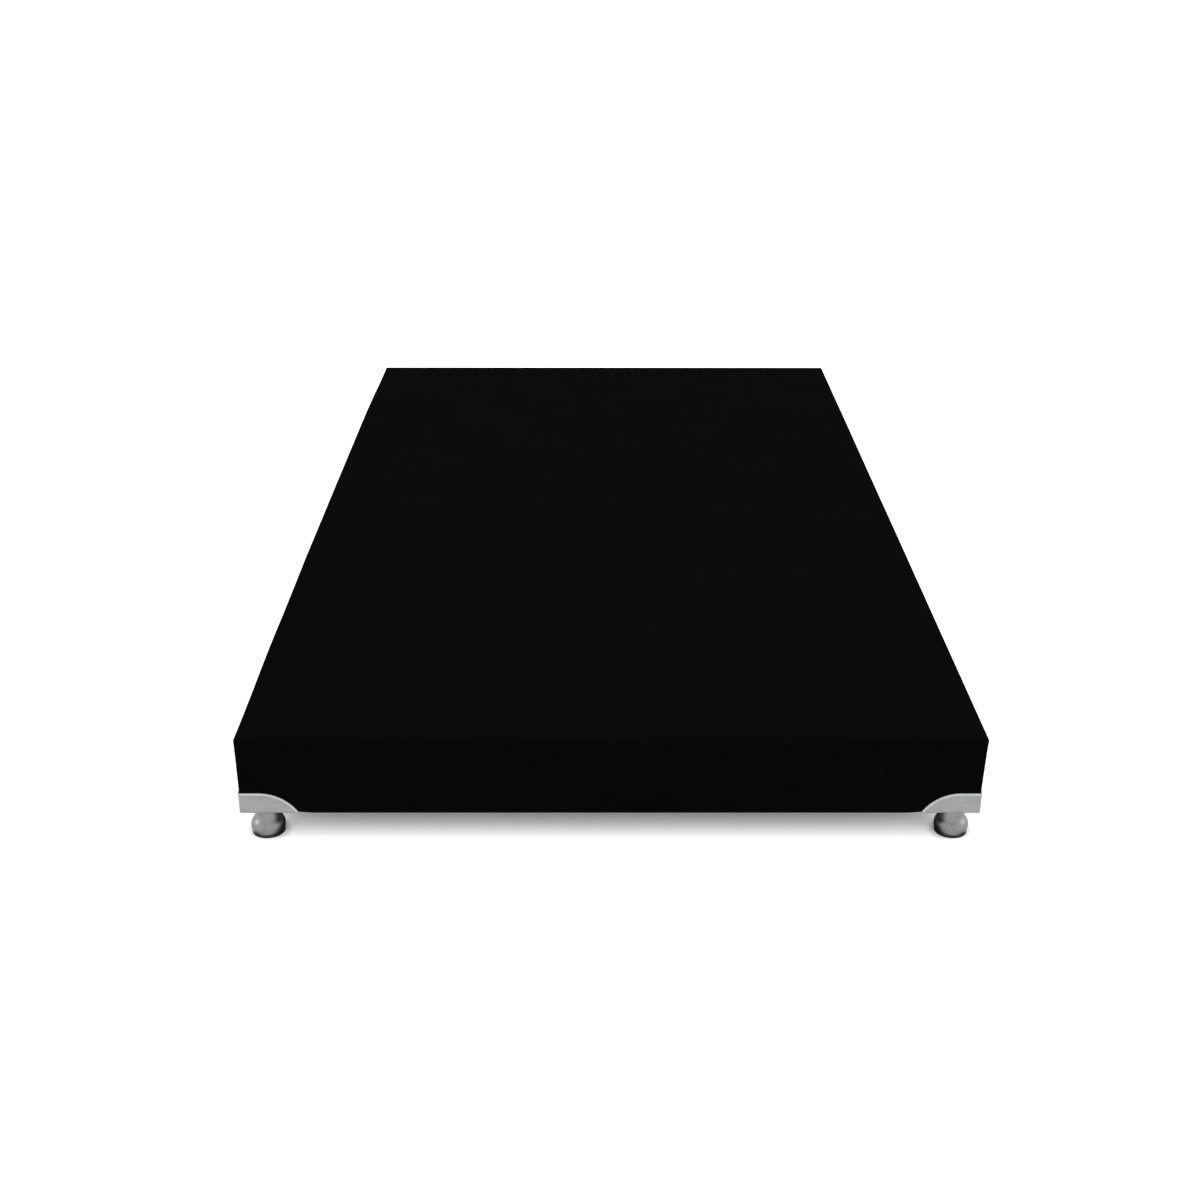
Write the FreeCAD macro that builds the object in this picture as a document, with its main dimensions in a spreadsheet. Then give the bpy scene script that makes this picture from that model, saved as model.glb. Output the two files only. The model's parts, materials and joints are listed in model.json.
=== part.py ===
import FreeCAD
import Part

import math
import os
import re

import Sketcher

# A low upholstered platform base, 1.05 m wide and 1.9 m long.
#
# A softwood frame of four rails, a centre rail and cross slats carries a hardboard deck. A foam pad
# lies on the deck and wadding goes round the rails. A black cover is sewn from a top panel and a
# band, and the band is turned under the rails and stapled. A dust cover closes the underside. Each
# lower corner has a moulded guard. Six feet screw into tee nuts, and each turns on its own glide.
#
# Frame: millimetres, +Z up, origin on the floor under the middle of the base. X is the width, Y is
# the length, and the front is at -Y.

Vector = FreeCAD.Vector

# The driving dimensions. Every cell of the sheet is one of these.
SIZES = {
    "width": 1050,  # over the cover, and the guards stand out past it
    "length": 1900,
    "floor_gap": 48,  # from the floor to the underside of the corner guards
    "fabric_thick": 0.8,
    "dust_thick": 0.5,
    "wadding_thick": 3.2,
    "pad_thick": 12,
    "deck_thick": 3.2,
    "cover_round": 4,  # outer radius of the cover's upright corners
    "turn_under": 24,  # how far the band goes in under the rails
    "dust_edge": 8,  # from the base's side to the edge of the dust cover
    "dust_corner": 110,  # how far along each edge its corners are cut off, clear of the guards
    "rail_thick": 18,
    "rail_tall": 100,
    "slat_wide": 70,
    "slat_thick": 16,
    "slat_count": 11,
    "ledger_side": 18,
    "block_side": 60,
    "block_tall": 28,
    "guard_wall": 1,
    "guard_plate": 1.2,
    "guard_tall": 31.5,
    "guard_reach": 84,  # from the corner to the tip of the guard's curved arm
    "guard_flat": 29,  # straight part of the guard's upper edge
    "guard_round": 3.5,
    "guard_edge_round": 0.6,
    "rim_wide": 3,
    "rim_proud": 0.4,
    "stud_hole": 4.5,  # radius of the holes that a stud passes through
    "guard_screw_far": 60,
    "guard_screw_hole": 1.9,
    "foot_inset": 32,  # from each side of the base to a foot's axis
    "foot_radius": 24.5,
    "foot_widest": 12.5,  # height of the widest place above the floor
    "foot_shoulder": 17,
    "foot_belly": 24,
    "neck_radius": 15.5,
    "neck_round": 1,
    "foot_wall": 2.5,
    "boss_radius": 9,
    "boss_bottom": 7,
    "cavity_top": 29,
    "cavity_knee": 12,
    "glide_radius": 23.4,
    "glide_thick": 5,
    "glide_round": 1.2,
    "stem_radius": 4,
    "stem_top": 14,
    "swivel_clearance": 0.05,
    "stud_radius": 3.95,
    "stud_bottom": 27,
    "stud_above": 35,  # how far the stud stands up out of the foot
    "stud_chamfer": 1,
    "thread_clearance": 0.05,
    "nut_barrel": 5,
    "nut_tall": 11,
    "nut_flange": 9.5,
    "nut_flange_thick": 1.2,
    "prong_deep": 5,
    "prong_wide": 1.6,
    "prong_thick": 1.2,
    "prong_count": 4,
}

# Places that follow from the driving dimensions, as formulas in the sheet's aliases.
FRAME_HALF_X = "(width / 2 - fabric_thick - wadding_thick)"
FRAME_HALF_Y = "(length / 2 - fabric_thick - wadding_thick)"
INNER_X = f"({FRAME_HALF_X} - rail_thick)"
INNER_Y = f"({FRAME_HALF_Y} - rail_thick)"
BAND_Z = "(floor_gap + guard_plate)"
DUST_Z = f"({BAND_Z} - dust_thick)"
RAIL_Z = f"({BAND_Z} + fabric_thick)"
DECK_Z = f"({RAIL_Z} + rail_tall)"
PAD_Z = f"({DECK_Z} + deck_thick)"
TOP_PANEL_Z = f"({PAD_Z} + pad_thick)"
SLAT_Z = f"({DECK_Z} - slat_thick)"
FOOT_X = "(width / 2 - foot_inset)"
FOOT_Y = "(length / 2 - foot_inset)"
BLOCK_TOP = f"({RAIL_Z} + block_tall)"
RAIL_MIDDLE = "(fabric_thick + wadding_thick + rail_thick / 2)"
GUARD_RISE = "(guard_tall - guard_plate)"
GUARD_ARC = f"(((guard_reach - guard_flat) ^ 2 + {GUARD_RISE} ^ 2) / (2 * {GUARD_RISE}))"

# Where the six feet stand, as multiples of FOOT_X and FOOT_Y.
FEET = {
    "front_left": (-1, -1),
    "front_right": (1, -1),
    "middle_left": (-1, 0),
    "middle_right": (1, 0),
    "back_left": (-1, 1),
    "back_right": (1, 1),
}
# Each guard's corner, and its quarter turns from the one at the front left.
GUARDS = {
    "front_left": (-1, -1, 0),
    "front_right": (1, -1, 1),
    "back_right": (1, 1, 2),
    "back_left": (-1, 1, 3),
}

doc = FreeCAD.newDocument("platform_base")
sheet = doc.addObject("Spreadsheet::Sheet", "Sizes")
sub_parts = []


def fill_sheet():
    """Writes each driving dimension as a plain number with its own alias."""
    for row, (alias, number) in enumerate(SIZES.items(), start=1):
        sheet.set(f"A{row}", alias)
        sheet.set(f"B{row}", str(number))
        sheet.setAlias(f"B{row}", alias)
    doc.recompute()


def formula(text):
    """A formula in aliases as an expression that any object of the document can be bound to."""
    return re.sub(r"[a-z_]{3,}", lambda m: f"Sizes.{m[0]}" if m[0] in SIZES else m[0], text)


def value(text):
    """The number that a formula gives now."""
    return float(sheet.evalExpression(formula(text)))


def keep(thing):
    """Marks an object of the document as a sub-part, which is written to a file of its own."""
    sub_parts.append(thing)
    return thing


def place(thing, x="0", y="0", z="0", quarter_turns=0):
    """Binds an object's place to three formulas, after turning it about Z."""
    turn = FreeCAD.Rotation(Vector(0, 0, 1), 90 * quarter_turns)
    thing.Placement = FreeCAD.Placement(Vector(), turn)
    for axis, text in zip("xyz", (x, y, z)):
        thing.setExpression(f"Placement.Base.{axis}", formula(text))


def board(name, x_span, y_span, z_span):
    """A board or strip as a box between two formulas on each axis."""
    box = doc.addObject("Part::Box", name)
    for side, axis, (low, high) in zip(("Length", "Width", "Height"), "xyz", (x_span, y_span, z_span)):
        box.setExpression(side, formula(f"({high}) - ({low})"))
        box.setExpression(f"Placement.Base.{axis}", formula(low))
    return keep(box)


def arc_between(start, end, radius, turn):
    """The arc from start to end, anticlockwise where turn is 1 and clockwise where it is -1."""
    chord = end - start
    left = Vector(-chord.y, chord.x, 0).normalize()
    rise = math.sqrt(radius**2 - (chord.Length / 2) ** 2)
    centre = (start + end) / 2 + left * rise * turn
    first, last = (start, end) if turn == 1 else (end, start)
    from_angle = math.atan2(first.y - centre.y, first.x - centre.x)
    to_angle = math.atan2(last.y - centre.y, last.x - centre.x)
    if to_angle < from_angle:
        to_angle += 2 * math.pi
    circle = Part.Circle(centre, Vector(0, 0, 1), radius)
    return Part.ArcOfCircle(circle, from_angle, to_angle)


def sketch_on(body, name, plane):
    """An empty sketch on one of the body's own origin planes."""
    sketch = body.newObject("Sketcher::SketchObject", name)
    origin_plane = next(f for f in body.Origin.OriginFeatures if f.Role == plane)
    sketch.AttachmentSupport = [(origin_plane, "")]
    sketch.MapMode = "FlatFace"
    return sketch


def pin(sketch, geometry, end, x, y):
    """Binds one end of a line or arc to two formulas, measured from the sketch's origin."""
    for kind, text in (("DistanceX", x), ("DistanceY", y)):
        index = sketch.addConstraint(Sketcher.Constraint(kind, geometry, end, value(text)))
        sketch.setExpression(f"Constraints[{index}]", formula(text))


def add_loop(sketch, corners, arcs=None):
    """A closed loop through corners, each a pair of formulas. arcs gives {corner: (radius, turn)}."""
    arcs = arcs or {}
    first = sketch.GeometryCount
    points = [Vector(value(x), value(y), 0) for x, y in corners]
    ends = []
    for i, start in enumerate(points):
        finish = points[(i + 1) % len(points)]
        if i in arcs:
            radius, turn = arcs[i]
            sketch.addGeometry(arc_between(start, finish, value(radius), turn))
            index = sketch.addConstraint(Sketcher.Constraint("Radius", first + i, value(radius)))
            sketch.setExpression(f"Constraints[{index}]", formula(radius))
            ends.append((1, 2) if turn == 1 else (2, 1))
        else:
            sketch.addGeometry(Part.LineSegment(start, finish))
            ends.append((1, 2))
    for i, (x, y) in enumerate(corners):
        before = i - 1 if i else len(corners) - 1
        joint = (first + before, ends[before][1], first + i, ends[i][0])
        sketch.addConstraint(Sketcher.Constraint("Coincident", *joint))
        pin(sketch, first + i, ends[i][0], x, y)
    return sketch


def add_circle(sketch, x, y, radius):
    """A circle whose centre and radius are formulas."""
    index = sketch.addGeometry(Part.Circle(Vector(value(x), value(y), 0), Vector(0, 0, 1), value(radius)))
    pin(sketch, index, 3, x, y)
    bound = sketch.addConstraint(Sketcher.Constraint("Radius", index, value(radius)))
    sketch.setExpression(f"Constraints[{bound}]", formula(radius))


def rounded_rectangle(half_x, half_y, radius):
    """The corners and arcs of a rectangle about the origin with four equal round corners."""
    corners = []
    for sx, sy in ((1, 1), (-1, 1), (-1, -1), (1, -1)):
        side = (f"{sx} * {half_x}", f"{sy} * ({half_y} - ({radius}))")
        end = (f"{sx} * ({half_x} - ({radius}))", f"{sy} * {half_y}")
        corners += [side, end] if sx == sy else [end, side]
    return corners, {i: (radius, 1) for i in (0, 2, 4, 6)}


def rectangle(half_x, half_y):
    """The corners of a rectangle about the origin."""
    return [(f"{sx} * {half_x}", f"{sy} * {half_y}") for sx, sy in ((1, 1), (-1, 1), (-1, -1), (1, -1))]


def pad(body, sketch, height, reverse=False, both_ways=False):
    """Adds the sketch's area to the body, drawn out by a formula."""
    feature = body.newObject("PartDesign::Pad", f"{sketch.Name}_pad")
    feature.Profile = sketch
    feature.setExpression("Length", formula(height))
    feature.Reversed = reverse
    feature.Midplane = both_ways
    return feature


def drill(body, sketch):
    """Cuts the sketch's circles out of the whole body, both ways from the sketch."""
    before = recomputed(body).Shape.Volume
    feature = body.newObject("PartDesign::Pocket", f"{sketch.Name}_pocket")
    feature.Profile = sketch
    feature.Type = "ThroughAll"
    feature.Midplane = True
    if recomputed(body).Shape.Volume >= before:
        raise RuntimeError(f"{feature.Name} cut nothing")
    return feature


def revolve(body, sketch):
    """Turns the sketch a full circle about its own vertical axis."""
    feature = body.newObject("PartDesign::Revolution", f"{sketch.Name}_revolution")
    feature.Profile = sketch
    feature.ReferenceAxis = (sketch, ["V_Axis"])
    feature.Angle = 360
    return feature


def recomputed(thing):
    """The same object once the document is up to date."""
    doc.recompute()
    return thing


def round_edges(body, name, radius, chosen):
    """Rounds the edges of the body's present shape for which chosen(edge) is true."""
    tip = recomputed(body).Tip
    names = [f"Edge{i}" for i, edge in enumerate(tip.Shape.Edges, start=1) if chosen(edge)]
    if not names:
        raise RuntimeError(f"{name} found no edge")
    fillet = body.newObject("PartDesign::Fillet", name)
    fillet.Base = (tip, names)
    fillet.setExpression("Radius", formula(radius))
    recomputed(body)


def group(name, master, places):
    """One sub-part that holds a copy of the master solid at each place, such as a set of screws."""
    shape = recomputed(master).Shape
    node = doc.addObject("Part::Feature", name)
    node.Shape = Part.makeCompound([shape.transformed(p.toMatrix(), copy=True) for p in places])
    node.Placement = FreeCAD.Placement()
    return keep(node)


def driven(x, y, z, direction):
    """The placement of a fastener whose head is at x, y, z and whose point goes in along direction."""
    return FreeCAD.Placement(Vector(x, y, z), FreeCAD.Rotation(Vector(0, 0, -1), Vector(*direction)))


def spread(low, high, count):
    """Evenly spaced numbers from low to high, both included."""
    return [low + (high - low) * i / (count - 1) for i in range(count)]


# ---------------------------------------------------------------- timber frame


def make_rails():
    """Two full-length side rails, two end rails between them, and a lower centre rail."""
    rail_z = (RAIL_Z, DECK_Z)
    for side, sign in (("left", -1), ("right", 1)):
        span = (INNER_X, FRAME_HALF_X) if sign > 0 else (f"-{FRAME_HALF_X}", f"-{INNER_X}")
        board(f"side_rail_{side}", span, (f"-{FRAME_HALF_Y}", FRAME_HALF_Y), rail_z)
        ledger = (f"{INNER_X} - ledger_side", INNER_X)
        if sign < 0:
            ledger = (f"-{INNER_X}", f"-{INNER_X} + ledger_side")
        board(f"ledger_{side}", ledger, (f"-{INNER_Y}", INNER_Y), (f"{SLAT_Z} - ledger_side", SLAT_Z))
    for end, sign in (("front", -1), ("back", 1)):
        span = (INNER_Y, FRAME_HALF_Y) if sign > 0 else (f"-{FRAME_HALF_Y}", f"-{INNER_Y}")
        board(f"end_rail_{end}", (f"-{INNER_X}", INNER_X), span, rail_z)
    half = "rail_thick / 2"
    board("centre_rail", (f"-({half})", half), (f"-{INNER_Y}", INNER_Y), (RAIL_Z, SLAT_Z))


def slat_start(index):
    """The formula for the front edge of one slat."""
    return f"{index} * (2 * {INNER_Y} - slat_wide) / (slat_count - 1) - {INNER_Y}"


def make_slats():
    """Cross slats that lie on the ledgers and the centre rail, flush with the top of the rails."""
    for index in range(SIZES["slat_count"]):
        low = slat_start(index)
        spans = (f"-{INNER_X}", INNER_X), (low, f"{low} + slat_wide"), (SLAT_Z, DECK_Z)
        board(f"slat_{index + 1:02d}", *spans)


def block_range(sign, inner):
    """The low edge of a foot block on one axis: against a rail, or centred where sign is 0."""
    return {1: f"{inner} - block_side", 0: "-block_side / 2", -1: f"-{inner}"}[sign]


def make_foot_blocks():
    """A drilled block inside each corner and halfway along each side, which a foot screws into."""
    for name, (sx, sy) in FEET.items():
        low_x, low_y = block_range(sx, INNER_X), block_range(sy, INNER_Y)
        block = doc.addObject("PartDesign::Body", f"foot_block_{name}")
        side = "block_side"
        square = sketch_on(block, f"square_{name}", "XY_Plane")
        add_loop(square, [("0", "0"), (side, "0"), (side, side), ("0", side)])
        pad(block, square, "block_tall")
        bore = sketch_on(block, f"bore_{name}", "XY_Plane")
        add_circle(bore, f"{sx} * {FOOT_X} - ({low_x})", f"{sy} * {FOOT_Y} - ({low_y})", "nut_barrel")
        drill(block, bore)
        place(block, low_x, low_y, RAIL_Z)
        keep(block)


def make_deck():
    """The hardboard sheet over the rails and slats."""
    x_span, y_span = (f"-{FRAME_HALF_X}", FRAME_HALF_X), (f"-{FRAME_HALF_Y}", FRAME_HALF_Y)
    board("deck_panel", x_span, y_span, (DECK_Z, PAD_Z))


# ---------------------------------------------------------------- feet and tee nuts


def make_tee_nuts():
    """Steel tee nuts hammered into the tops of the foot blocks, four prongs to each."""
    nut = doc.addObject("PartDesign::Body", "one_tee_nut")
    bore = "stud_radius + thread_clearance"
    section = [
        (bore, "-nut_tall"),
        ("nut_barrel", "-nut_tall"),
        ("nut_barrel", "0"),
        ("nut_flange", "0"),
        ("nut_flange", "nut_flange_thick"),
        (bore, "nut_flange_thick"),
    ]
    revolve(nut, add_loop(sketch_on(nut, "nut_section", "XZ_Plane"), section))
    spike = [
        ("nut_flange - prong_wide", "0"),
        ("nut_flange - prong_wide / 2", "-prong_deep"),
        ("nut_flange", "0"),
        ("nut_flange", "nut_flange_thick"),
        ("nut_flange - prong_wide", "nut_flange_thick"),
    ]
    outline = add_loop(sketch_on(nut, "prong_outline", "XZ_Plane"), spike)
    prong = pad(nut, outline, "prong_thick", both_ways=True)
    doc.recompute()
    prongs = nut.newObject("PartDesign::PolarPattern", "prongs")
    prongs.Originals = [prong]
    prongs.Axis = (outline, ["V_Axis"])
    prongs.Angle = 360
    prongs.setExpression("Occurrences", formula("prong_count"))
    nut.Tip = prongs
    top = value(BLOCK_TOP)
    spots = [(value(f"{sx} * {FOOT_X}"), value(f"{sy} * {FOOT_Y}")) for sx, sy in FEET.values()]
    group("tee_nuts", nut, [FreeCAD.Placement(Vector(x, y, top), FreeCAD.Rotation()) for x, y in spots])


def foot_section():
    """The half section of a foot shell about its axis, and its arcs. The inside is cored out.

    The shoulder turns in by the smaller angle of a 3-4-5 triangle, and a hollow arc turns back by the
    same angle to meet the neck.
    """
    shoulder_r = "foot_radius - foot_shoulder * 0.2"
    shoulder_z = "foot_widest + foot_shoulder * 0.6"
    cove = f"5 * ({shoulder_r} - neck_radius)"
    belly_r = "foot_radius - foot_belly + sqrt(foot_belly ^ 2 - (foot_widest - glide_thick) ^ 2)"
    swivel = "stem_radius + swivel_clearance"
    corners = [
        ("stud_radius", "floor_gap"),
        ("neck_radius - neck_round", "floor_gap"),
        ("neck_radius", "floor_gap - neck_round"),
        ("neck_radius", f"{shoulder_z} + ({cove}) * 0.6"),
        (shoulder_r, shoulder_z),
        ("foot_radius", "foot_widest"),
        (belly_r, "glide_thick"),
        (f"{belly_r} - foot_wall", "glide_thick"),
        (f"{belly_r} - foot_wall", "cavity_knee"),
        ("boss_radius", "cavity_top"),
        ("boss_radius", "boss_bottom"),
        (swivel, "boss_bottom"),
        (swivel, "stem_top + 1"),
        ("0", "stem_top + 1"),
        ("0", "stud_bottom"),
        ("stud_radius", "stud_bottom"),
    ]
    arcs = {1: ("neck_round", -1), 3: (cove, 1), 4: ("foot_shoulder", -1), 5: ("foot_belly", -1)}
    return corners, arcs


def turned(name, label, corners, arcs=None):
    """A body turned from one half section in the XZ plane."""
    body = doc.addObject("PartDesign::Body", name)
    section = sketch_on(body, f"{label}_section", "XZ_Plane")
    revolve(body, add_loop(section, corners, arcs))
    return body


def make_feet():
    """Six feet: a plated shell, the stud pressed into its top, and the glide it turns on."""
    stud_top = "floor_gap + stud_above"
    stud = [
        ("0", "stud_bottom"),
        ("stud_radius", "stud_bottom"),
        ("stud_radius", f"{stud_top} - stud_chamfer"),
        ("stud_radius - stud_chamfer", stud_top),
        ("0", stud_top),
    ]
    glide = [
        ("0", "0"),
        ("glide_radius - glide_round", "0"),
        ("glide_radius", "glide_round"),
        ("glide_radius", "glide_thick"),
        ("stem_radius", "glide_thick"),
        ("stem_radius", "stem_top"),
        ("0", "stem_top"),
    ]
    for name, (sx, sy) in FEET.items():
        pieces = [
            turned(f"foot_shell_{name}", f"shell_{name}", *foot_section()),
            turned(f"foot_stud_{name}", f"stud_{name}", stud),
            turned(f"foot_glide_{name}", f"glide_{name}", glide, {1: ("glide_round", 1)}),
        ]
        for piece in pieces:
            place(piece, f"{sx} * {FOOT_X}", f"{sy} * {FOOT_Y}")
            keep(piece)


# ---------------------------------------------------------------- corner guards


def guard_arm():
    """One arm of a guard from the side: level along the top, then a single arc down to its tip."""
    corners = [
        ("0", "0"),
        ("guard_reach", "0"),
        ("guard_reach", "guard_plate"),
        ("guard_flat", "guard_tall"),
        ("0", "guard_tall"),
    ]
    return corners, {2: (GUARD_ARC, 1)}


def guard_rim():
    """The raised rim that follows the upper edge of one arm, carried out past the corner."""
    inner = f"({GUARD_ARC} - rim_wide)"
    drop = f"({GUARD_ARC} - {GUARD_RISE})"
    tip = f"guard_flat + sqrt({inner} ^ 2 - {drop} ^ 2)"
    corners = [
        (tip, "guard_plate"),
        ("guard_reach", "guard_plate"),
        ("guard_flat", "guard_tall"),
        ("-rim_proud", "guard_tall"),
        ("-rim_proud", "guard_tall - rim_wide"),
        ("guard_flat", "guard_tall - rim_wide"),
    ]
    return corners, {1: (GUARD_ARC, 1), 5: (inner, -1)}


def upright_at(edge, place):
    """Whether the edge stands upright on the corner at x = y = place."""
    middle = edge.BoundBox.Center
    return edge.Length > 2 and (middle - Vector(place, place, middle.z)).Length < 0.01


def at_outer_foot(edge):
    """Whether the edge lies along the bottom of one of the guard's two outer faces."""
    box = edge.BoundBox
    on_outer_face = min(box.XMin, box.YMin) < 0.01
    return on_outer_face and box.ZMax < 0.01 and box.XMax + box.YMax < SIZES["guard_reach"] + 1


def make_guard(name):
    """A moulded corner guard: two curved arms with a rim, a plate under them, and three holes."""
    guard = doc.addObject("PartDesign::Body", f"corner_guard_{name}")
    plate = sketch_on(guard, f"plate_{name}", "XY_Plane")
    quarter = [("0", "0"), ("guard_reach", "0"), ("0", "guard_reach")]
    pad(guard, add_loop(plate, quarter, {1: ("guard_reach", 1)}), "guard_plate")
    for plane, inward in (("XZ_Plane", True), ("YZ_Plane", False)):
        side = plane[:2].lower()
        arm = add_loop(sketch_on(guard, f"arm_{side}_{name}", plane), *guard_arm())
        pad(guard, arm, "guard_wall", reverse=inward)
        rim = add_loop(sketch_on(guard, f"rim_{side}_{name}", plane), *guard_rim())
        pad(guard, rim, "rim_proud", reverse=not inward)
    proud = SIZES["rim_proud"]
    round_edges(guard, f"rim_round_{name}", "guard_round + rim_proud", lambda e: upright_at(e, -proud))
    round_edges(guard, f"upright_round_{name}", "guard_round", lambda e: upright_at(e, 0))
    round_edges(guard, f"edge_round_{name}", "guard_edge_round", at_outer_foot)
    holes = sketch_on(guard, f"holes_{name}", "XY_Plane")
    near, far = f"guard_wall + {RAIL_MIDDLE}", "guard_wall + guard_screw_far"
    add_circle(holes, "guard_wall + foot_inset", "guard_wall + foot_inset", "stud_hole")
    add_circle(holes, far, near, "guard_screw_hole")
    add_circle(holes, near, far, "guard_screw_hole")
    drill(guard, holes)
    return guard


def make_guards():
    """Four guards over the cover, each a quarter turn on from the last."""
    for name, (sx, sy, quarter_turns) in GUARDS.items():
        guard = make_guard(name)
        x, y = (f"{s} * ({half} / 2 + guard_wall)" for s, half in ((sx, "width"), (sy, "length")))
        place(guard, x, y, "floor_gap", quarter_turns)
        keep(guard)


# ---------------------------------------------------------------- soft parts


def make_cover_and_wadding():
    """The band with its turned-under edge, the wadding behind it, the foam pad and the top panel."""
    half = ("(width / 2)", "(length / 2)")
    inside = tuple(f"({h} - fabric_thick)" for h in half)
    band = doc.addObject("PartDesign::Body", "cover_band")
    wall = sketch_on(band, "band_wall", "XY_Plane")
    add_loop(wall, *rounded_rectangle(*half, "cover_round"))
    add_loop(wall, *rounded_rectangle(*inside, "cover_round - fabric_thick"))
    pad(band, wall, f"{TOP_PANEL_Z} - {BAND_Z}")
    under = sketch_on(band, "band_under", "XY_Plane")
    add_loop(under, *rounded_rectangle(*half, "cover_round"))
    add_loop(under, rectangle(*(f"({h} - turn_under)" for h in half)))
    pad(band, under, "fabric_thick")
    place(band, z=BAND_Z)
    keep(band)
    height = (RAIL_Z, PAD_Z)
    long_side, short_side = f"({inside[1]} - cover_round)", f"({FRAME_HALF_X} - cover_round)"
    left, right = (f"-{inside[0]}", f"-{FRAME_HALF_X}"), (FRAME_HALF_X, inside[0])
    front, back = (f"-{inside[1]}", f"-{FRAME_HALF_Y}"), (FRAME_HALF_Y, inside[1])
    board("wadding_left", left, (f"-{long_side}", long_side), height)
    board("wadding_right", right, (f"-{long_side}", long_side), height)
    board("wadding_front", (f"-{short_side}", short_side), front, height)
    board("wadding_back", (f"-{short_side}", short_side), back, height)
    flat_sheet("foam_pad", inside, "cover_round - fabric_thick", PAD_Z, "pad_thick")
    flat_sheet("cover_top_panel", half, "cover_round", TOP_PANEL_Z, "fabric_thick")


def flat_sheet(name, half, radius, z, thick):
    """A sheet with round corners that lies level at height z."""
    body = doc.addObject("PartDesign::Body", name)
    outline = sketch_on(body, f"{name}_outline", "XY_Plane")
    pad(body, add_loop(outline, *rounded_rectangle(*half, radius)), thick)
    place(body, z=z)
    return keep(body)


def make_dust_cover():
    """The thin sheet that closes the underside. It stops short of the guards at each corner."""
    body = doc.addObject("PartDesign::Body", "dust_cover")
    half_x, half_y = "(width / 2 - dust_edge)", "(length / 2 - dust_edge)"
    corners = []
    for sx, sy in ((1, 1), (-1, 1), (-1, -1), (1, -1)):
        side = (f"{sx} * {half_x}", f"{sy} * ({half_y} - dust_corner)")
        end = (f"{sx} * ({half_x} - dust_corner)", f"{sy} * {half_y}")
        corners += [side, end] if sx == sy else [end, side]
    pad(body, add_loop(sketch_on(body, "dust_outline", "XY_Plane"), corners), "dust_thick")
    holes = sketch_on(body, "dust_holes", "XY_Plane")
    for sign in (1, -1):
        add_circle(holes, f"{sign} * {FOOT_X}", "0", "stud_hole")
    drill(body, holes)
    place(body, z=DUST_Z)
    keep(body)


# ---------------------------------------------------------------- fasteners

FRAME_SCREW = {"head": 4.3, "head_tall": 2.6, "shank": 2.1, "length": 50, "point": 5}
GUARD_SCREW = {"head": 3.4, "head_tall": 2.0, "shank": 1.65, "length": 22, "point": 4}
NAIL = {"head": 2.8, "head_tall": 1.0, "shank": 1.25, "length": 35, "point": 3}
STAPLE = {"crown": 12, "leg": 10, "wire": 1.2, "crown_thick": 0.8}
FIRST_BLOCK_SCREW = 28  # from an end rail's inner face to the first screw into a corner block
LEDGER_NAILS = 8
LEDGER_NAIL_GAP = 110  # from a ledger's end to its first nail, clear of the slat nails
ROW_PITCH = 55  # the spacing of the staples round the underside
DECK_PITCH = 150
GUARD_CLEAR = 38  # the first staple's distance past a guard


def fastener(name, kind, sunk):
    """A turned fastener, point down. A sunk head is below the origin, and a pan head is above it."""
    head, tall, shank = (str(kind[k]) for k in ("head", "head_tall", "shank"))
    tip, cone = str(-kind["length"]), str(kind["point"] - kind["length"])
    if sunk:
        top = [(shank, f"-{tall}"), (head, "0"), ("0", "0")]
    else:
        top = [(shank, "0"), (head, "0"), (f"{head} - 0.6", tall), ("0", tall)]
    return turned(name, name, [("0", tip), (shank, cone), *top])


def block_screw_rows():
    """How far along the base each screw into a foot block is, clear of the bores for the feet."""
    inner_y, third = value(INNER_Y), value("block_side / 3")
    corner = [inner_y - FIRST_BLOCK_SCREW, inner_y - FIRST_BLOCK_SCREW - third]
    return [-y for y in corner] + [-third, third] + corner


def make_frame_screws():
    """Countersunk screws through the rails, into the end grain and into the foot blocks."""
    screw = fastener("one_frame_screw", FRAME_SCREW, sunk=True)
    half_x, half_y = value(FRAME_HALF_X), value(FRAME_HALF_Y)
    rail_z, rail_tall, thick = value(RAIL_Z), value("rail_tall"), value("rail_thick")
    places = []
    for side in (-1, 1):
        inward = (-side, 0, 0)
        for share in (0.5, 0.85):
            height = rail_z + share * rail_tall
            for end in (-1, 1):
                places.append(driven(side * half_x, end * (half_y - thick / 2), height, inward))
        for along in block_screw_rows():
            z = rail_z + value("block_tall / 2")
            places.append(driven(side * half_x, along, z, inward))
    for end in (-1, 1):
        for share in (0.25, 0.6):
            places.append(driven(0, end * half_y, rail_z + share * rail_tall, (0, -end, 0)))
    group("frame_screws", screw, places)


def make_nails():
    """Flat-headed nails through the ledgers, the ends of the slats and the middles of the slats."""
    nail = fastener("one_nail", NAIL, sunk=True)
    face, reach = value(f"{INNER_X} - ledger_side"), value(INNER_Y) - LEDGER_NAIL_GAP
    height = value(f"{SLAT_Z} - ledger_side / 2")
    rows = [(side, y) for side in (-1, 1) for y in spread(-reach, reach, LEDGER_NAILS)]
    places = [driven(side * face, y, height, (side, 0, 0)) for side, y in rows]
    end_x = value(f"{INNER_X} - ledger_side / 2")
    third, z = value("slat_wide / 3"), value(DECK_Z)
    for index in range(SIZES["slat_count"]):
        middle = value(f"{slat_start(index)} + slat_wide / 2")
        spots = [(side * end_x, middle + step) for side in (-1, 1) for step in (-third, third)]
        places += [driven(x, y, z, (0, 0, -1)) for x, y in [*spots, (0, middle)]]
    group("frame_nails", nail, places)


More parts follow.
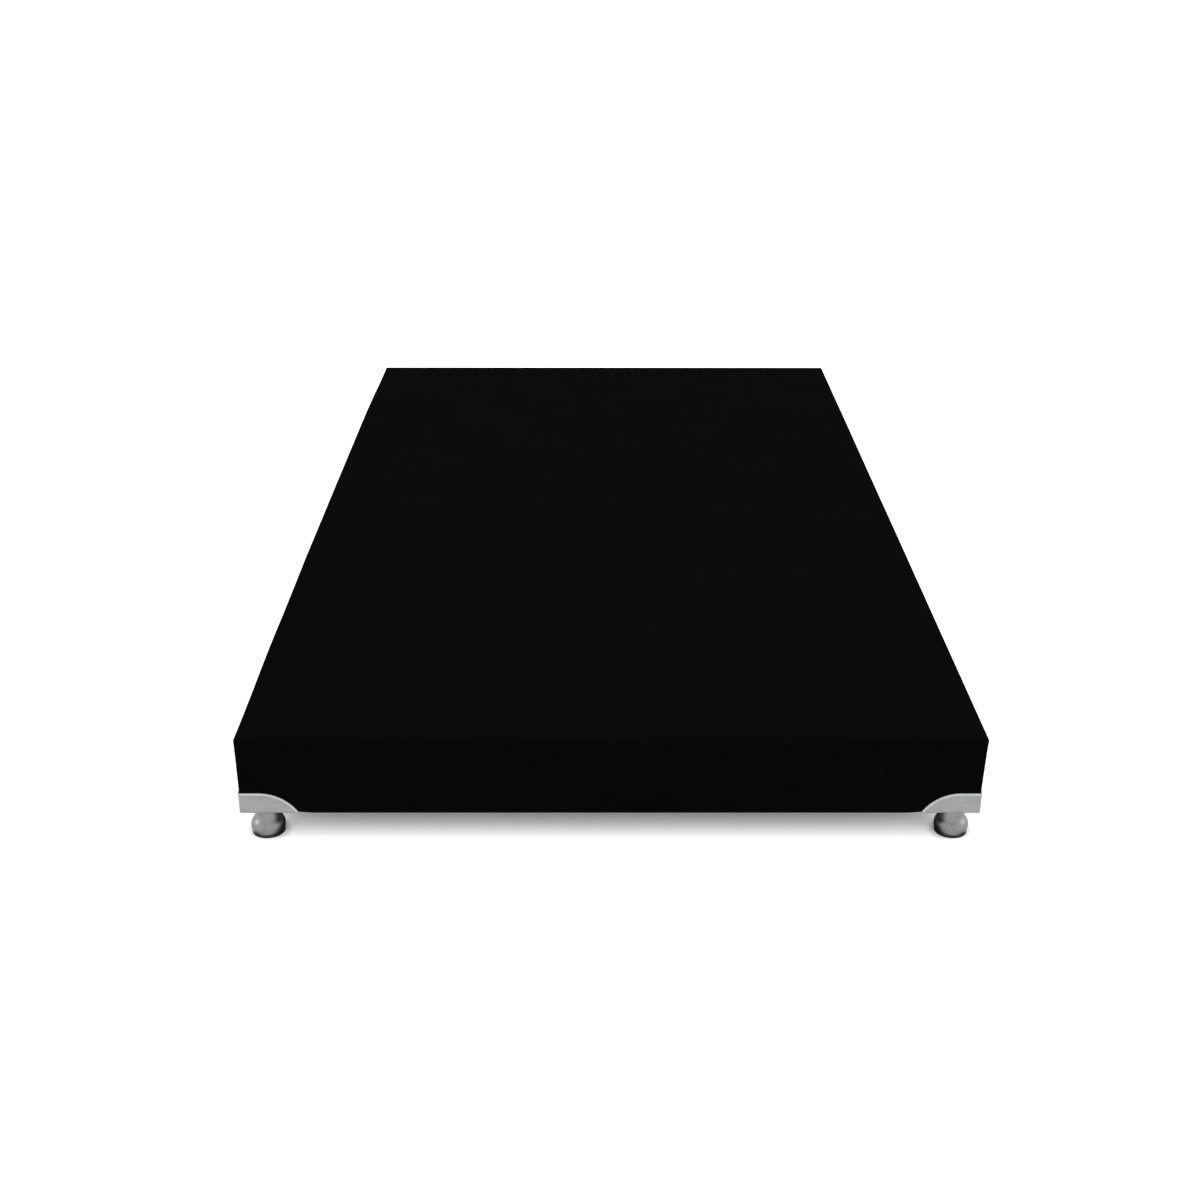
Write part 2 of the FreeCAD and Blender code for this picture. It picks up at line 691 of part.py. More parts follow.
def make_guard_screws():
    """Pan-head screws up through each guard's plate into the rails."""
    screw = fastener("one_guard_screw", GUARD_SCREW, sunk=False)
    far, near = value("guard_screw_far"), value(RAIL_MIDDLE)
    half_x, half_y, z = value("width / 2"), value("length / 2"), value("floor_gap")
    places = []
    for sx, sy, _ in GUARDS.values():
        for in_x, in_y in ((far, near), (near, far)):
            places.append(driven(sx * (half_x - in_x), sy * (half_y - in_y), z, (0, 0, 1)))
    group("guard_screws", screw, places)


def one_staple():
    """A wire staple whose crown lies along X at the origin, with its legs down."""
    body = doc.addObject("PartDesign::Body", "one_staple")
    half, inner = STAPLE["crown"] / 2, STAPLE["crown"] / 2 - STAPLE["wire"]
    thick, leg = STAPLE["crown_thick"], STAPLE["leg"]
    loop = [(-half, 0), (-half, -leg), (-inner, -leg), (-inner, -thick)]
    loop += [(inner, -thick), (inner, -leg), (half, -leg), (half, 0)]
    sketch = sketch_on(body, "staple_outline", "XZ_Plane")
    add_loop(sketch, [(str(x), str(z)) for x, z in loop])
    pad(body, sketch, str(STAPLE["wire"]), both_ways=True)
    return body


def staple_row(inset, start_gap, pitch, z, legs_up):
    """Placements round the four sides, each crown along its own side."""
    half_x, half_y = value("width / 2"), value("length / 2")
    flip = FreeCAD.Rotation(Vector(1, 0, 0), 180 if legs_up else 0)
    quarter = FreeCAD.Rotation(Vector(0, 0, 1), 90)
    places = []
    for side in (-1, 1):
        run = half_x - start_gap
        for x in spread(-run, run, round(2 * run / pitch) + 1):
            places.append(FreeCAD.Placement(Vector(x, side * (half_y - inset), z), flip))
        run = half_y - start_gap
        for y in spread(-run, run, round(2 * run / pitch) + 1):
            spot = Vector(side * (half_x - inset), y, z)
            places.append(FreeCAD.Placement(spot, quarter.multiply(flip)))
    return places


def make_staples():
    """Staples that hold the band and dust cover under the rails, and the deck on top of them."""
    staple = one_staple()
    middle = value(RAIL_MIDDLE)
    past_guard = value("guard_reach") + GUARD_CLEAR
    under = value(DUST_Z) - STAPLE["crown_thick"]
    below = staple_row(middle, past_guard, ROW_PITCH, under, legs_up=True)
    above = staple_row(middle, past_guard / 2, DECK_PITCH, value(PAD_Z), legs_up=False)
    group("staples", staple, below + above)


# ---------------------------------------------------------------- build and write


def check_all():
    """Stops on any object that failed to build, and on any sub-part without a sound shape."""
    doc.recompute()
    for thing in doc.Objects:
        if "Invalid" in thing.State or "Error" in thing.State:
            raise RuntimeError(f"{thing.Name} failed: {thing.State}")
    for node in sub_parts:
        if node.Shape.isNull() or not node.Shape.isValid() or not node.Shape.Solids:
            raise RuntimeError(f"{node.Label} has no sound shape")


def write_all():
    """Writes each sub-part to parts/LABEL.step, after clearing the files of an earlier build."""
    os.makedirs("parts", exist_ok=True)
    for old in os.listdir("parts"):
        os.remove(os.path.join("parts", old))
    for node in sub_parts:
        node.Shape.exportStep(os.path.join("parts", f"{node.Label}.step"))
    print(len(sub_parts), "sub-parts written")


fill_sheet()
make_rails()
make_slats()
make_foot_blocks()
make_deck()
make_tee_nuts()
make_feet()
make_guards()
make_cover_and_wadding()
make_dust_cover()
make_frame_screws()
make_nails()
make_guard_screws()
make_staples()
check_all()
write_all()
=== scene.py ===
"""A low upholstered platform base, 1.05 m wide and 1.9 m long, on six screw-in feet.

It follows the base as it is put together: timber frame, fasteners, feet, padding, cover, corner
guards and dust cover. All sizes are metres, in the frame's own axes, with the front at -Y.
"""

import json
import math

import bmesh
import bpy
from mathutils import Matrix, Vector, noise

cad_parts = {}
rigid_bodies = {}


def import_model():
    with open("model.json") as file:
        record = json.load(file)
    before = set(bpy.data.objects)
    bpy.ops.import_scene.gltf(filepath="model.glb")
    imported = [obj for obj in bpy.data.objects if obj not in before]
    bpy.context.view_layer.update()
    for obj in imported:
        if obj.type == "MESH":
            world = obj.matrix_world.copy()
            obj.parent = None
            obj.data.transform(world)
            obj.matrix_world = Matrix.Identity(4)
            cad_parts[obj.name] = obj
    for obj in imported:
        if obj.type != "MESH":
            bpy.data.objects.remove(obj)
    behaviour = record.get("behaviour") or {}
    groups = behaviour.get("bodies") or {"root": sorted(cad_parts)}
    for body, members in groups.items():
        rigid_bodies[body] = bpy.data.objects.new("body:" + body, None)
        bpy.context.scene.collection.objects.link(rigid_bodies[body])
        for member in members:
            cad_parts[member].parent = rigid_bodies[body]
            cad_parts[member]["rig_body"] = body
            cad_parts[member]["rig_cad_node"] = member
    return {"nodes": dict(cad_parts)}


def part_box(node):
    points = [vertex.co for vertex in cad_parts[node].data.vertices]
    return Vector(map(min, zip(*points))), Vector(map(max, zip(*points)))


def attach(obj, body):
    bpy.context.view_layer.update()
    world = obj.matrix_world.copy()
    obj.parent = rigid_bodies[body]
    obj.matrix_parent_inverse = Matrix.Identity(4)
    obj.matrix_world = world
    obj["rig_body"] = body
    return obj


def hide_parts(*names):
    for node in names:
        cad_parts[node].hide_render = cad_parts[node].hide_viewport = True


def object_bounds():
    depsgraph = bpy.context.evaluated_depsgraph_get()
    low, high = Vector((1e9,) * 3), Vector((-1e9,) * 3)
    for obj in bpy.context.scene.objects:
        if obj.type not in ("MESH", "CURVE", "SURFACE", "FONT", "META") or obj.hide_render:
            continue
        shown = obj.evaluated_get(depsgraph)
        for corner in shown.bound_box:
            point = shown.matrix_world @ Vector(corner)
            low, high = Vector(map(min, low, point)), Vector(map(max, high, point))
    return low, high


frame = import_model()
nodes = frame["nodes"]
cad_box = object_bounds()

# ------------------------------------------------------------------ viewpoint
# The base is seen as a shop would show it: from eye height, three metres in front of its short end,
# a little left of its middle.

EYE = (-0.021, -3.016, 1.2774)
EYE_DOWN = math.radians(23.54)
EYE_RIGHT = math.radians(0.17)
EYE_TILT = math.radians(0.09)

camera = bpy.data.objects.new("camera", bpy.data.cameras.new("camera"))
camera.data.sensor_width = 36
camera.data.lens = 50.4
turn = Matrix.Rotation(-EYE_RIGHT, 4, "Z") @ Matrix.Rotation(math.pi / 2 - EYE_DOWN, 4, "X")
camera.matrix_world = Matrix.Translation(EYE) @ turn @ Matrix.Rotation(EYE_TILT, 4, "Z")
bpy.context.scene.collection.objects.link(camera)
bpy.context.scene.camera = camera

# ------------------------------------------------------------------ timber frame
# Planed softwood rails, ledgers, slats and foot blocks, screwed and nailed together and left bare.
# Each board is finished where it stands, with its grain along its length.


def add(tree, kind, inputs=None, **settings):
    """A shader node. inputs maps a socket to another node's output or to a plain value."""
    made = tree.nodes.new(f"ShaderNode{kind}")
    for name, value in settings.items():
        setattr(made, name, value)
    for socket, value in (inputs or {}).items():
        if isinstance(value, bpy.types.NodeSocket):
            tree.links.new(value, made.inputs[socket])
        else:
            made.inputs[socket].default_value = value
    return made


def math_of(tree, operation, first, second=0.0, third=0.0):
    """The result of one sum, where each term is a number or another node's output."""
    return add(tree, "Math", {0: first, 1: second, 2: third}, operation=operation).outputs[0]


def vector_of(tree, operation, first, second):
    """The result of one sum on vectors."""
    return add(tree, "VectorMath", {0: first, 1: second}, operation=operation).outputs[0]


def mix_of(tree, share, first, second):
    """A colour between two others."""
    mix = add(tree, "Mix", {0: share, 6: first, 7: second}, data_type="RGBA", clamp_factor=True)
    return mix.outputs[2]


def ramp_of(tree, value, low, high):
    """0 below low and 1 above high, with a smooth change between."""
    sockets = {0: value, 1: low, 2: high}
    return add(tree, "MapRange", sockets, interpolation_type="SMOOTHSTEP").outputs[0]


def noise_of(tree, place, scale, detail=2.0, roughness=0.5):
    """A grey noise, from 0 to 1."""
    sockets = {"Vector": place, "Scale": scale, "Detail": detail, "Roughness": roughness}
    return add(tree, "TexNoise", sockets).outputs[0]


def effect(name, takes):
    """A shader node group that gives a surface. takes is a list of (socket, kind, default)."""
    tree = bpy.data.node_groups.new(name, "ShaderNodeTree")
    gives = [("Color", "Color", None), ("Rough", "Float", None), ("Height", "Float", None)]
    for way, sockets in (("INPUT", takes), ("OUTPUT", gives)):
        for socket, kind, default in sockets:
            made = tree.interface.new_socket(socket, in_out=way, socket_type=f"NodeSocket{kind}")
            if default is not None:
                made.default_value = default
    return tree, tree.nodes.new("NodeGroupInput").outputs, tree.nodes.new("NodeGroupOutput").inputs


def use(tree, group, **values):
    """Places an effect in a material. A value's name is its socket's name with _ for each space."""
    made = tree.nodes.new("ShaderNodeGroup")
    made.node_tree = group
    for name, value in values.items():
        socket = made.inputs[name.replace("_", " ")]
        if isinstance(value, bpy.types.NodeSocket):
            tree.links.new(value, socket)
        else:
            socket.default_value = value
    return made.outputs


def finish_named(name, **plain):
    """A new material: its node tree and its shader, whose sockets in plain hold one value all over."""
    material = bpy.data.materials.new(name)
    material.use_nodes = True
    shader = material.node_tree.nodes["Principled BSDF"]
    for socket, value in plain.items():
        shader.inputs[socket.replace("_", " ")].default_value = value
    return material, material.node_tree, shader


def feed(tree, shader, color=None, roughness=None, height=None, depth=0.0002, strength=1.0):
    """Joins an effect's outputs to the shader. depth is the height's full range in metres."""
    if color is not None:
        tree.links.new(color, shader.inputs["Base Color"])
    if roughness is not None:
        tree.links.new(roughness, shader.inputs["Roughness"])
    if height is not None:
        bump = add(tree, "Bump", {"Strength": strength, "Distance": depth, "Height": height})
        tree.links.new(bump.outputs[0], shader.inputs["Normal"])


def dress(thing, material):
    """Gives a piece one material all over."""
    thing.data.materials.clear()
    thing.data.materials.append(material)


def object_place(tree):
    """The point on the object, in metres."""
    return add(tree, "TexCoord").outputs["Object"]


def wood_grain():
    """Long wavering growth rings with fine pores and a few knots, stretched along one axis."""
    takes = [
        ("Place", "Vector", None),
        ("Across", "Vector", (1.0, 14.0, 14.0)),
        ("Pale", "Color", (0.66, 0.46, 0.27, 1)),
        ("Dark", "Color", (0.42, 0.24, 0.11, 1)),
        ("Rings", "Float", 9.0),
    ]
    tree, takes, gives = effect("wood_grain", takes)
    along = vector_of(tree, "MULTIPLY", takes["Place"], takes["Across"])
    sway = noise_of(tree, along, 1.3, 3.0)
    ring_place = math_of(tree, "MULTIPLY", sway, takes["Rings"])
    rings = math_of(tree, "PINGPONG", ring_place, 0.5)
    late_wood = ramp_of(tree, rings, 0.28, 0.5)
    pores = noise_of(tree, vector_of(tree, "MULTIPLY", along, (3.0, 9.0, 9.0)), 12.0, 2.0)
    knots = ramp_of(tree, noise_of(tree, along, 0.55, 1.0), 0.70, 0.78)
    shade = math_of(tree, "MAXIMUM", math_of(tree, "MULTIPLY", late_wood, 0.65), knots)
    shade = math_of(tree, "ADD", shade, math_of(tree, "MULTIPLY_ADD", pores, 0.3, -0.15))
    tree.links.new(mix_of(tree, shade, takes["Pale"], takes["Dark"]), gives["Color"])
    tree.links.new(math_of(tree, "MULTIPLY_ADD", pores, 0.25, 0.55), gives["Rough"])
    ridges = math_of(tree, "MULTIPLY_ADD", late_wood, 0.5, math_of(tree, "MULTIPLY", pores, 0.5))
    tree.links.new(ridges, gives["Height"])
    return tree


grain = wood_grain()


def softwood(name, across):
    """Bare planed pine whose grain runs along the axis on which across is smallest."""
    material, tree, shader = finish_named(name, Specular_IOR_Level=0.25)
    wood = use(tree, grain, Place=object_place(tree), Across=across)
    feed(tree, shader, wood["Color"], wood["Rough"], wood["Height"], depth=0.00015)
    return material


pine_lengthwise = softwood("pine_lengthwise", (14.0, 1.0, 14.0))
pine_crosswise = softwood("pine_crosswise", (1.0, 14.0, 14.0))
for board in ("side_rail_left", "side_rail_right", "centre_rail", "ledger_left", "ledger_right"):
    dress(nodes[board], pine_lengthwise)
for name in nodes:
    if name.startswith(("end_rail", "slat_", "foot_block")):
        dress(nodes[name], pine_crosswise)

# ------------------------------------------------------------------ deck
# A sheet of thin hardboard, smooth side up, stapled over the rails and slats. It is brown pressed
# fibre, with a faint mottle and flecks of darker bark.


def pressed_board():
    """Hardboard's smooth side."""
    material, tree, shader = finish_named("pressed_board", Specular_IOR_Level=0.4)
    place = object_place(tree)
    mottle = noise_of(tree, place, 18.0, 5.0, 0.6)
    flecks = ramp_of(tree, noise_of(tree, place, 900.0, 1.0), 0.66, 0.72)
    brown = mix_of(tree, mottle, (0.20, 0.105, 0.05, 1), (0.31, 0.18, 0.095, 1))
    brown = mix_of(tree, math_of(tree, "MULTIPLY", flecks, 0.6), brown, (0.07, 0.035, 0.018, 1))
    rough = math_of(tree, "MULTIPLY_ADD", mottle, 0.2, 0.38)
    feed(tree, shader, brown, rough, noise_of(tree, place, 420.0, 3.0), depth=0.00008)
    return material


dress(nodes["deck_panel"], pressed_board())

# ------------------------------------------------------------------ fasteners
# Zinc-plated steel screws, nails, staples and tee nuts, as they come from the box: cold grey with a
# faint yellow-blue passivation and a spangle of crystals.


def zinc_plate():
    """A plate of small bright crystals, between a warm and a cold grey."""
    tree, takes, gives = effect("zinc_plate", [("Place", "Vector", None)])
    spangle = add(tree, "TexVoronoi", {"Vector": takes["Place"], "Scale": 900.0}).outputs["Color"]
    crystals = add(tree, "SeparateColor", {0: spangle}).outputs[0]
    tint = noise_of(tree, takes["Place"], 160.0, 2.0)
    warm_to_cold = mix_of(tree, tint, (0.58, 0.55, 0.44, 1), (0.50, 0.55, 0.60, 1))
    bright = math_of(tree, "MULTIPLY", crystals, 0.3)
    tree.links.new(mix_of(tree, bright, warm_to_cold, (0.75, 0.76, 0.77, 1)), gives["Color"])
    tree.links.new(math_of(tree, "MULTIPLY_ADD", crystals, 0.15, 0.28), gives["Rough"])
    tree.links.new(crystals, gives["Height"])
    return tree


zinc_effect = zinc_plate()


def zinc_steel():
    """Steel with the zinc plate all over."""
    material, tree, shader = finish_named("zinc_steel", Metallic=1.0)
    plate = use(tree, zinc_effect, Place=object_place(tree))
    feed(tree, shader, plate["Color"], plate["Rough"], plate["Height"], depth=0.00002)
    return material


zinc = zinc_steel()
for name in ("tee_nuts", "frame_screws", "frame_nails", "guard_screws", "staples"):
    dress(nodes[name], zinc)

# ------------------------------------------------------------------ studs
# An M8 stud stands in the top of each foot and screws up into a tee nut. It is rolled steel, so its
# thread has a rounded root and a flat crest, and it ends in a chamfer.

THREAD_PITCH = 0.00125
THREAD_DEPTH = 0.00068
FLANK_SLOPE = 2.6  # how steeply the thread rises from its root
ROOT_SHARE = 0.15  # how much of that rise the rounded root takes up
END_CHAMFER = 0.001
FEET = [name.removeprefix("foot_shell_") for name in nodes if name.startswith("foot_shell_")]
low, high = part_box(f"foot_stud_{FEET[0]}")
STUD_RADIUS = (high.x - low.x) / 2
ROUND_STEPS = 24
ROWS_PER_TURN = 6


def mesh_piece(name, points, faces, smooth=True):
    """A new piece from points and faces, all in the frame's axes."""
    mesh = bpy.data.meshes.new(name)
    mesh.from_pydata([tuple(p) for p in points], [], faces)
    mesh.polygons.foreach_set("use_smooth", [smooth] * len(mesh.polygons))
    mesh.update()
    piece = bpy.data.objects.new(name, mesh)
    bpy.context.scene.collection.objects.link(piece)
    return piece


def lathe(name, centre, rows, steps, radius_at=None):
    """A closed turned piece about a vertical axis. rows are (radius, height), from bottom to top."""
    points = [Vector((centre.x, centre.y, rows[0][1]))]
    for radius, height in rows:
        for i in range(steps):
            angle = 2 * math.pi * i / steps
            here = radius_at(radius, height, angle) if radius_at else radius
            x, y = centre.x + here * math.cos(angle), centre.y + here * math.sin(angle)
            points.append(Vector((x, y, height)))
    points.append(Vector((centre.x, centre.y, rows[-1][1])))
    faces = [(0, 1 + (i + 1) % steps, 1 + i) for i in range(steps)]
    for row in range(len(rows) - 1):
        low, high = 1 + row * steps, 1 + (row + 1) * steps
        for i in range(steps):
            j = (i + 1) % steps
            faces.append((low + i, low + j, high + j, high + i))
    top = 1 + (len(rows) - 1) * steps
    faces += [(len(points) - 1, top + i, top + (i + 1) % steps) for i in range(steps)]
    return mesh_piece(name, points, faces)


def thread_cut(radius, height, angle):
    """How far out the thread reaches at one point of the stud."""
    if radius < STUD_RADIUS - THREAD_DEPTH:
        return radius
    phase = (height / THREAD_PITCH - angle / (2 * math.pi)) % 1.0
    flank = min(1.0, max(0.0, abs(phase - 0.5) * FLANK_SLOPE - ROOT_SHARE))
    return min(radius, STUD_RADIUS - THREAD_DEPTH * (1 - flank))


for foot in FEET:
    low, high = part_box(f"foot_stud_{foot}")
    shell_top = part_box(f"foot_shell_{foot}")[1].z
    centre = (low + high) / 2
    plain_top = shell_top - 2 * THREAD_PITCH
    rows = [(STUD_RADIUS - THREAD_DEPTH, low.z), (STUD_RADIUS - THREAD_DEPTH, plain_top)]
    count = int((high.z - plain_top) / THREAD_PITCH * ROWS_PER_TURN)
    for row in range(1, count + 1):
        height = plain_top + (high.z - plain_top) * row / count
        rows.append((min(STUD_RADIUS, STUD_RADIUS - END_CHAMFER + (high.z - height)), height))
    stud = lathe(f"threaded_stud_{foot}", centre, rows, ROUND_STEPS, thread_cut)
    dress(stud, zinc)
    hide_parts(f"foot_stud_{foot}")
    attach(stud, f"foot_{foot}")

# ------------------------------------------------------------------ feet
# Each foot is a bell-shaped shell with a satin nickel-chrome plate, which turns on a black nylon
# glide. The plate picks up faint polishing rings and fingermarks.


def bright_plate():
    """A satin plate with fine rings round a vertical axis and duller smears."""
    tree, takes, gives = effect("bright_plate", [("Place", "Vector", None)])
    height = add(tree, "SeparateXYZ", {0: takes["Place"]}).outputs[2]
    rings = noise_of(tree, add(tree, "CombineXYZ", {2: height}).outputs[0], 2600.0, 2.0)
    marks = noise_of(tree, takes["Place"], 95.0, 4.0, 0.65)
    smear = ramp_of(tree, marks, 0.48, 0.70)
    tree.links.new(mix_of(tree, smear, (0.30, 0.303, 0.307, 1), (0.25, 0.253, 0.256, 1)), gives["Color"])
    rough = math_of(tree, "MULTIPLY_ADD", rings, 0.06, 0.34)
    tree.links.new(math_of(tree, "MULTIPLY_ADD", smear, 0.06, rough), gives["Rough"])
    bumps = math_of(tree, "MULTIPLY_ADD", rings, 0.3, math_of(tree, "MULTIPLY", marks, 0.7))
    tree.links.new(bumps, gives["Height"])
    return tree


bright_effect = bright_plate()


def chrome():
    """The feet's plate."""
    material, tree, shader = finish_named("chrome_plate", Metallic=1.0)
    plate = use(tree, bright_effect, Place=object_place(tree))
    feed(tree, shader, plate["Color"], plate["Rough"], plate["Height"], depth=0.00003)
    return material


def nylon():
    """The glides' black nylon, with paler scuffs in places."""
    material, tree, shader = finish_named("black_nylon", Specular_IOR_Level=0.4)
    place = object_place(tree)
    scuffs = ramp_of(tree, noise_of(tree, place, 260.0, 4.0, 0.7), 0.55, 0.72)
    black = mix_of(tree, scuffs, (0.012, 0.012, 0.013, 1), (0.035, 0.035, 0.034, 1))
    rough = math_of(tree, "MULTIPLY_ADD", scuffs, 0.25, 0.42)
    feed(tree, shader, black, rough, noise_of(tree, place, 1400.0, 2.0), depth=0.00004)
    return material


chrome_plate = chrome()
black_nylon = nylon()
for foot in FEET:
    dress(nodes[f"foot_shell_{foot}"], chrome_plate)
    dress(nodes[f"foot_glide_{foot}"], black_nylon)

# ------------------------------------------------------------------ padding
# A thin foam pad is glued to the deck, and strips of polyester wadding to the outsides of the rails.
# Both are soft: the cover presses their edges round, and they push it out unevenly at the top.


def loose_fibre(name, pale, dark, scale):
    """Foam or wadding: clumps with small cells in them. A larger scale makes both finer."""
    material, tree, shader = finish_named(name, Specular_IOR_Level=0.1)
    place = object_place(tree)
    clumps = noise_of(tree, place, scale, 4.0, 0.6)
    cells = add(tree, "TexVoronoi", {"Vector": place, "Scale": scale * 9}).outputs[0]
    body = math_of(tree, "MULTIPLY_ADD", cells, 0.5, math_of(tree, "MULTIPLY", clumps, 0.5))
    rough = math_of(tree, "MULTIPLY_ADD", clumps, 0.1, 0.88)
    feed(tree, shader, mix_of(tree, body, dark, pale), rough, body, depth=0.0006)
    return material


LUMP_SCALE = 14
LUMP_SHARE = 0.12  # how deep the skin's hollows are, as a share of the rounding


def soft_block(name, low, high, round_off, cells):
    """A pad with rounded edges and a slightly uneven skin, made from one box."""
    bm = bmesh.new()
    bmesh.ops.create_cube(bm, size=1.0)
    bmesh.ops.transform(bm, matrix=Matrix.LocRotScale((low + high) / 2, None, high - low), verts=bm.verts)
    bmesh.ops.bevel(bm, geom=list(bm.edges), offset=round_off, segments=3, affect="EDGES", profile=0.5)
    longest = [e for e in bm.edges if e.calc_length() > (high - low).length / cells]
    bmesh.ops.subdivide_edges(bm, edges=longest, cuts=cells, use_grid_fill=True)
    middle = (low + high) / 2
    for vert in bm.verts:
        soft = noise.noise(vert.co * LUMP_SCALE) * round_off * LUMP_SHARE
        vert.co += (middle - vert.co).normalized() * abs(soft)
    mesh = bpy.data.meshes.new(name)
    bm.to_mesh(mesh)
    bm.free()
    mesh.polygons.foreach_set("use_smooth", [True] * len(mesh.polygons))
    piece = bpy.data.objects.new(name, mesh)
    bpy.context.scene.collection.objects.link(piece)
    return piece


cover_low, cover_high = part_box("cover_band")[0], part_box("cover_top_panel")[1]
HALF_X, HALF_Y = cover_high.x, cover_high.y
TOP = cover_high.z
# How far the padding pushes the top edge out, from the front or left to the back or right.
SWELL = {
    "left": (0.0010, 0.0047, 0.0068, 0.0074, 0.0079, 0.0045),
    "right": (0.0037, 0.0038, 0.0039, 0.0037, 0.0039, 0.0036),
    "front": (0.0010, 0.0014, 0.0016, 0.0016, 0.0014, 0.0010),
    "back": (0.0008, 0.0010, 0.0012, 0.0012, 0.0010, 0.0008),
}
SWELL_FROM = 0.027  # height above the cover's lower edge at which the swelling starts
SWELL_REACH = 0.12  # how far in from each side the top moves with it


def along_side(side, share):
    """The swelling at one share of the way along a side, from 0 to 1."""
    amounts = SWELL[side]
    at = max(0.0, min(0.9999, share)) * (len(amounts) - 1)
    step = int(at)
    smooth = (1 - math.cos(math.pi * (at - step))) / 2
    return amounts[step] + (amounts[step + 1] - amounts[step]) * smooth


def swelling(point):
    """The sideways push of the padding at one point of the cover."""
    rise = max(0.0, min(1.0, (point.z - cover_low.z - SWELL_FROM) / (TOP - cover_low.z - SWELL_FROM)))
    share_x, share_y = point.x / HALF_X, point.y / HALF_Y
    sideways = "right" if share_x > 0 else "left"
    endways = "back" if share_y > 0 else "front"
    near_side = max(0.0, 1 - (1 - abs(share_x)) * HALF_X / SWELL_REACH)
    near_end = max(0.0, 1 - (1 - abs(share_y)) * HALF_Y / SWELL_REACH)
    x = math.copysign(along_side(sideways, (share_y + 1) / 2) * near_side ** 2, share_x)
    y = math.copysign(along_side(endways, (share_x + 1) / 2) * near_end ** 2, share_y)
    return Vector((x, y, 0)) * rise


def swell(piece, outward=None):
    """Moves a soft piece's points by the padding's push. outward limits it to its outer face."""
    middle = sum((v.co for v in piece.data.vertices), Vector()) / len(piece.data.vertices)
    for vert in piece.data.vertices:
        if outward is None or (vert.co - middle).dot(outward) > 0:
            vert.co += swelling(vert.co)


foam = loose_fibre("pad_foam", (0.74, 0.70, 0.56, 1), (0.55, 0.50, 0.36, 1), 60.0)
wadding = loose_fibre("polyester_wadding", (0.82, 0.82, 0.80, 1), (0.60, 0.60, 0.59, 1), 90.0)
SKIN_ROOM = 0.0022  # what the cover takes up round the foam
FOAM_ROUND = 0.0028
WADDING_ROUND = 0.0008
PAD_CELLS = 24

low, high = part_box("foam_pad")
inset = Vector((SKIN_ROOM, SKIN_ROOM, 0))
foam_top = high - inset - Vector((0, 0, SKIN_ROOM))
pad = soft_block("deck_foam", low + inset, foam_top, FOAM_ROUND, PAD_CELLS)
swell(pad)
dress(pad, foam)
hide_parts("foam_pad")
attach(pad, "platform")
OUTWARD = {"left": (-1, 0, 0), "right": (1, 0, 0), "front": (0, -1, 0), "back": (0, 1, 0)}
for side, outward in OUTWARD.items():
    low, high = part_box(f"wadding_{side}")
    strip = soft_block(f"rail_wadding_{side}", low, high, WADDING_ROUND, PAD_CELLS)
    swell(strip, Vector(outward))
    dress(strip, wadding)
    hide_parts(f"wadding_{side}")
    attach(strip, "platform")

# ------------------------------------------------------------------ cover
# One close-woven black cloth, cut as a top panel and a band, and joined by a plain stitched seam along
# the top edge. It is pulled down over the padding, turned under the rails and stapled.

CLOTH_THICK = 0.0008
EDGE_ROUND = 0.004
CELL = 0.0125  # the mesh's spacing along the cloth
SIDE_CELL = 0.009  # its spacing down the side
CORNER_STEPS = 5
DITCH = 0.0011  # how deep the seam pulls in
SEAM_ALLOWANCE = 0.003
STITCH = 0.0042  # from one stitch to the next
THREAD_HALF = 0.00022
STAPLE_PITCH = 0.055
SETTLE_STEPS = 16
CROWN = 0.0016  # about the most that the foam lifts the top panel
LUMPS = ((3.1, 3.1, 0.3, 0.0007), (11, 9, 1.7, 0.0003))  # each lumpiness: scales, seed and depth
HOLLOW = 0.0007  # how far the band gives on the wadding
SCALLOP = 0.0001  # how far it gives above each staple
UNDER_ROUND = 0.0012
UNDER_SAG = 0.0018  # how far the turned edge hangs below the rails, between the guards
TURNED_UNDER = 0.024
GUARD_REACH = 0.085
GUARD_EASE = 0.012  # the length over which the sag comes in past a guard


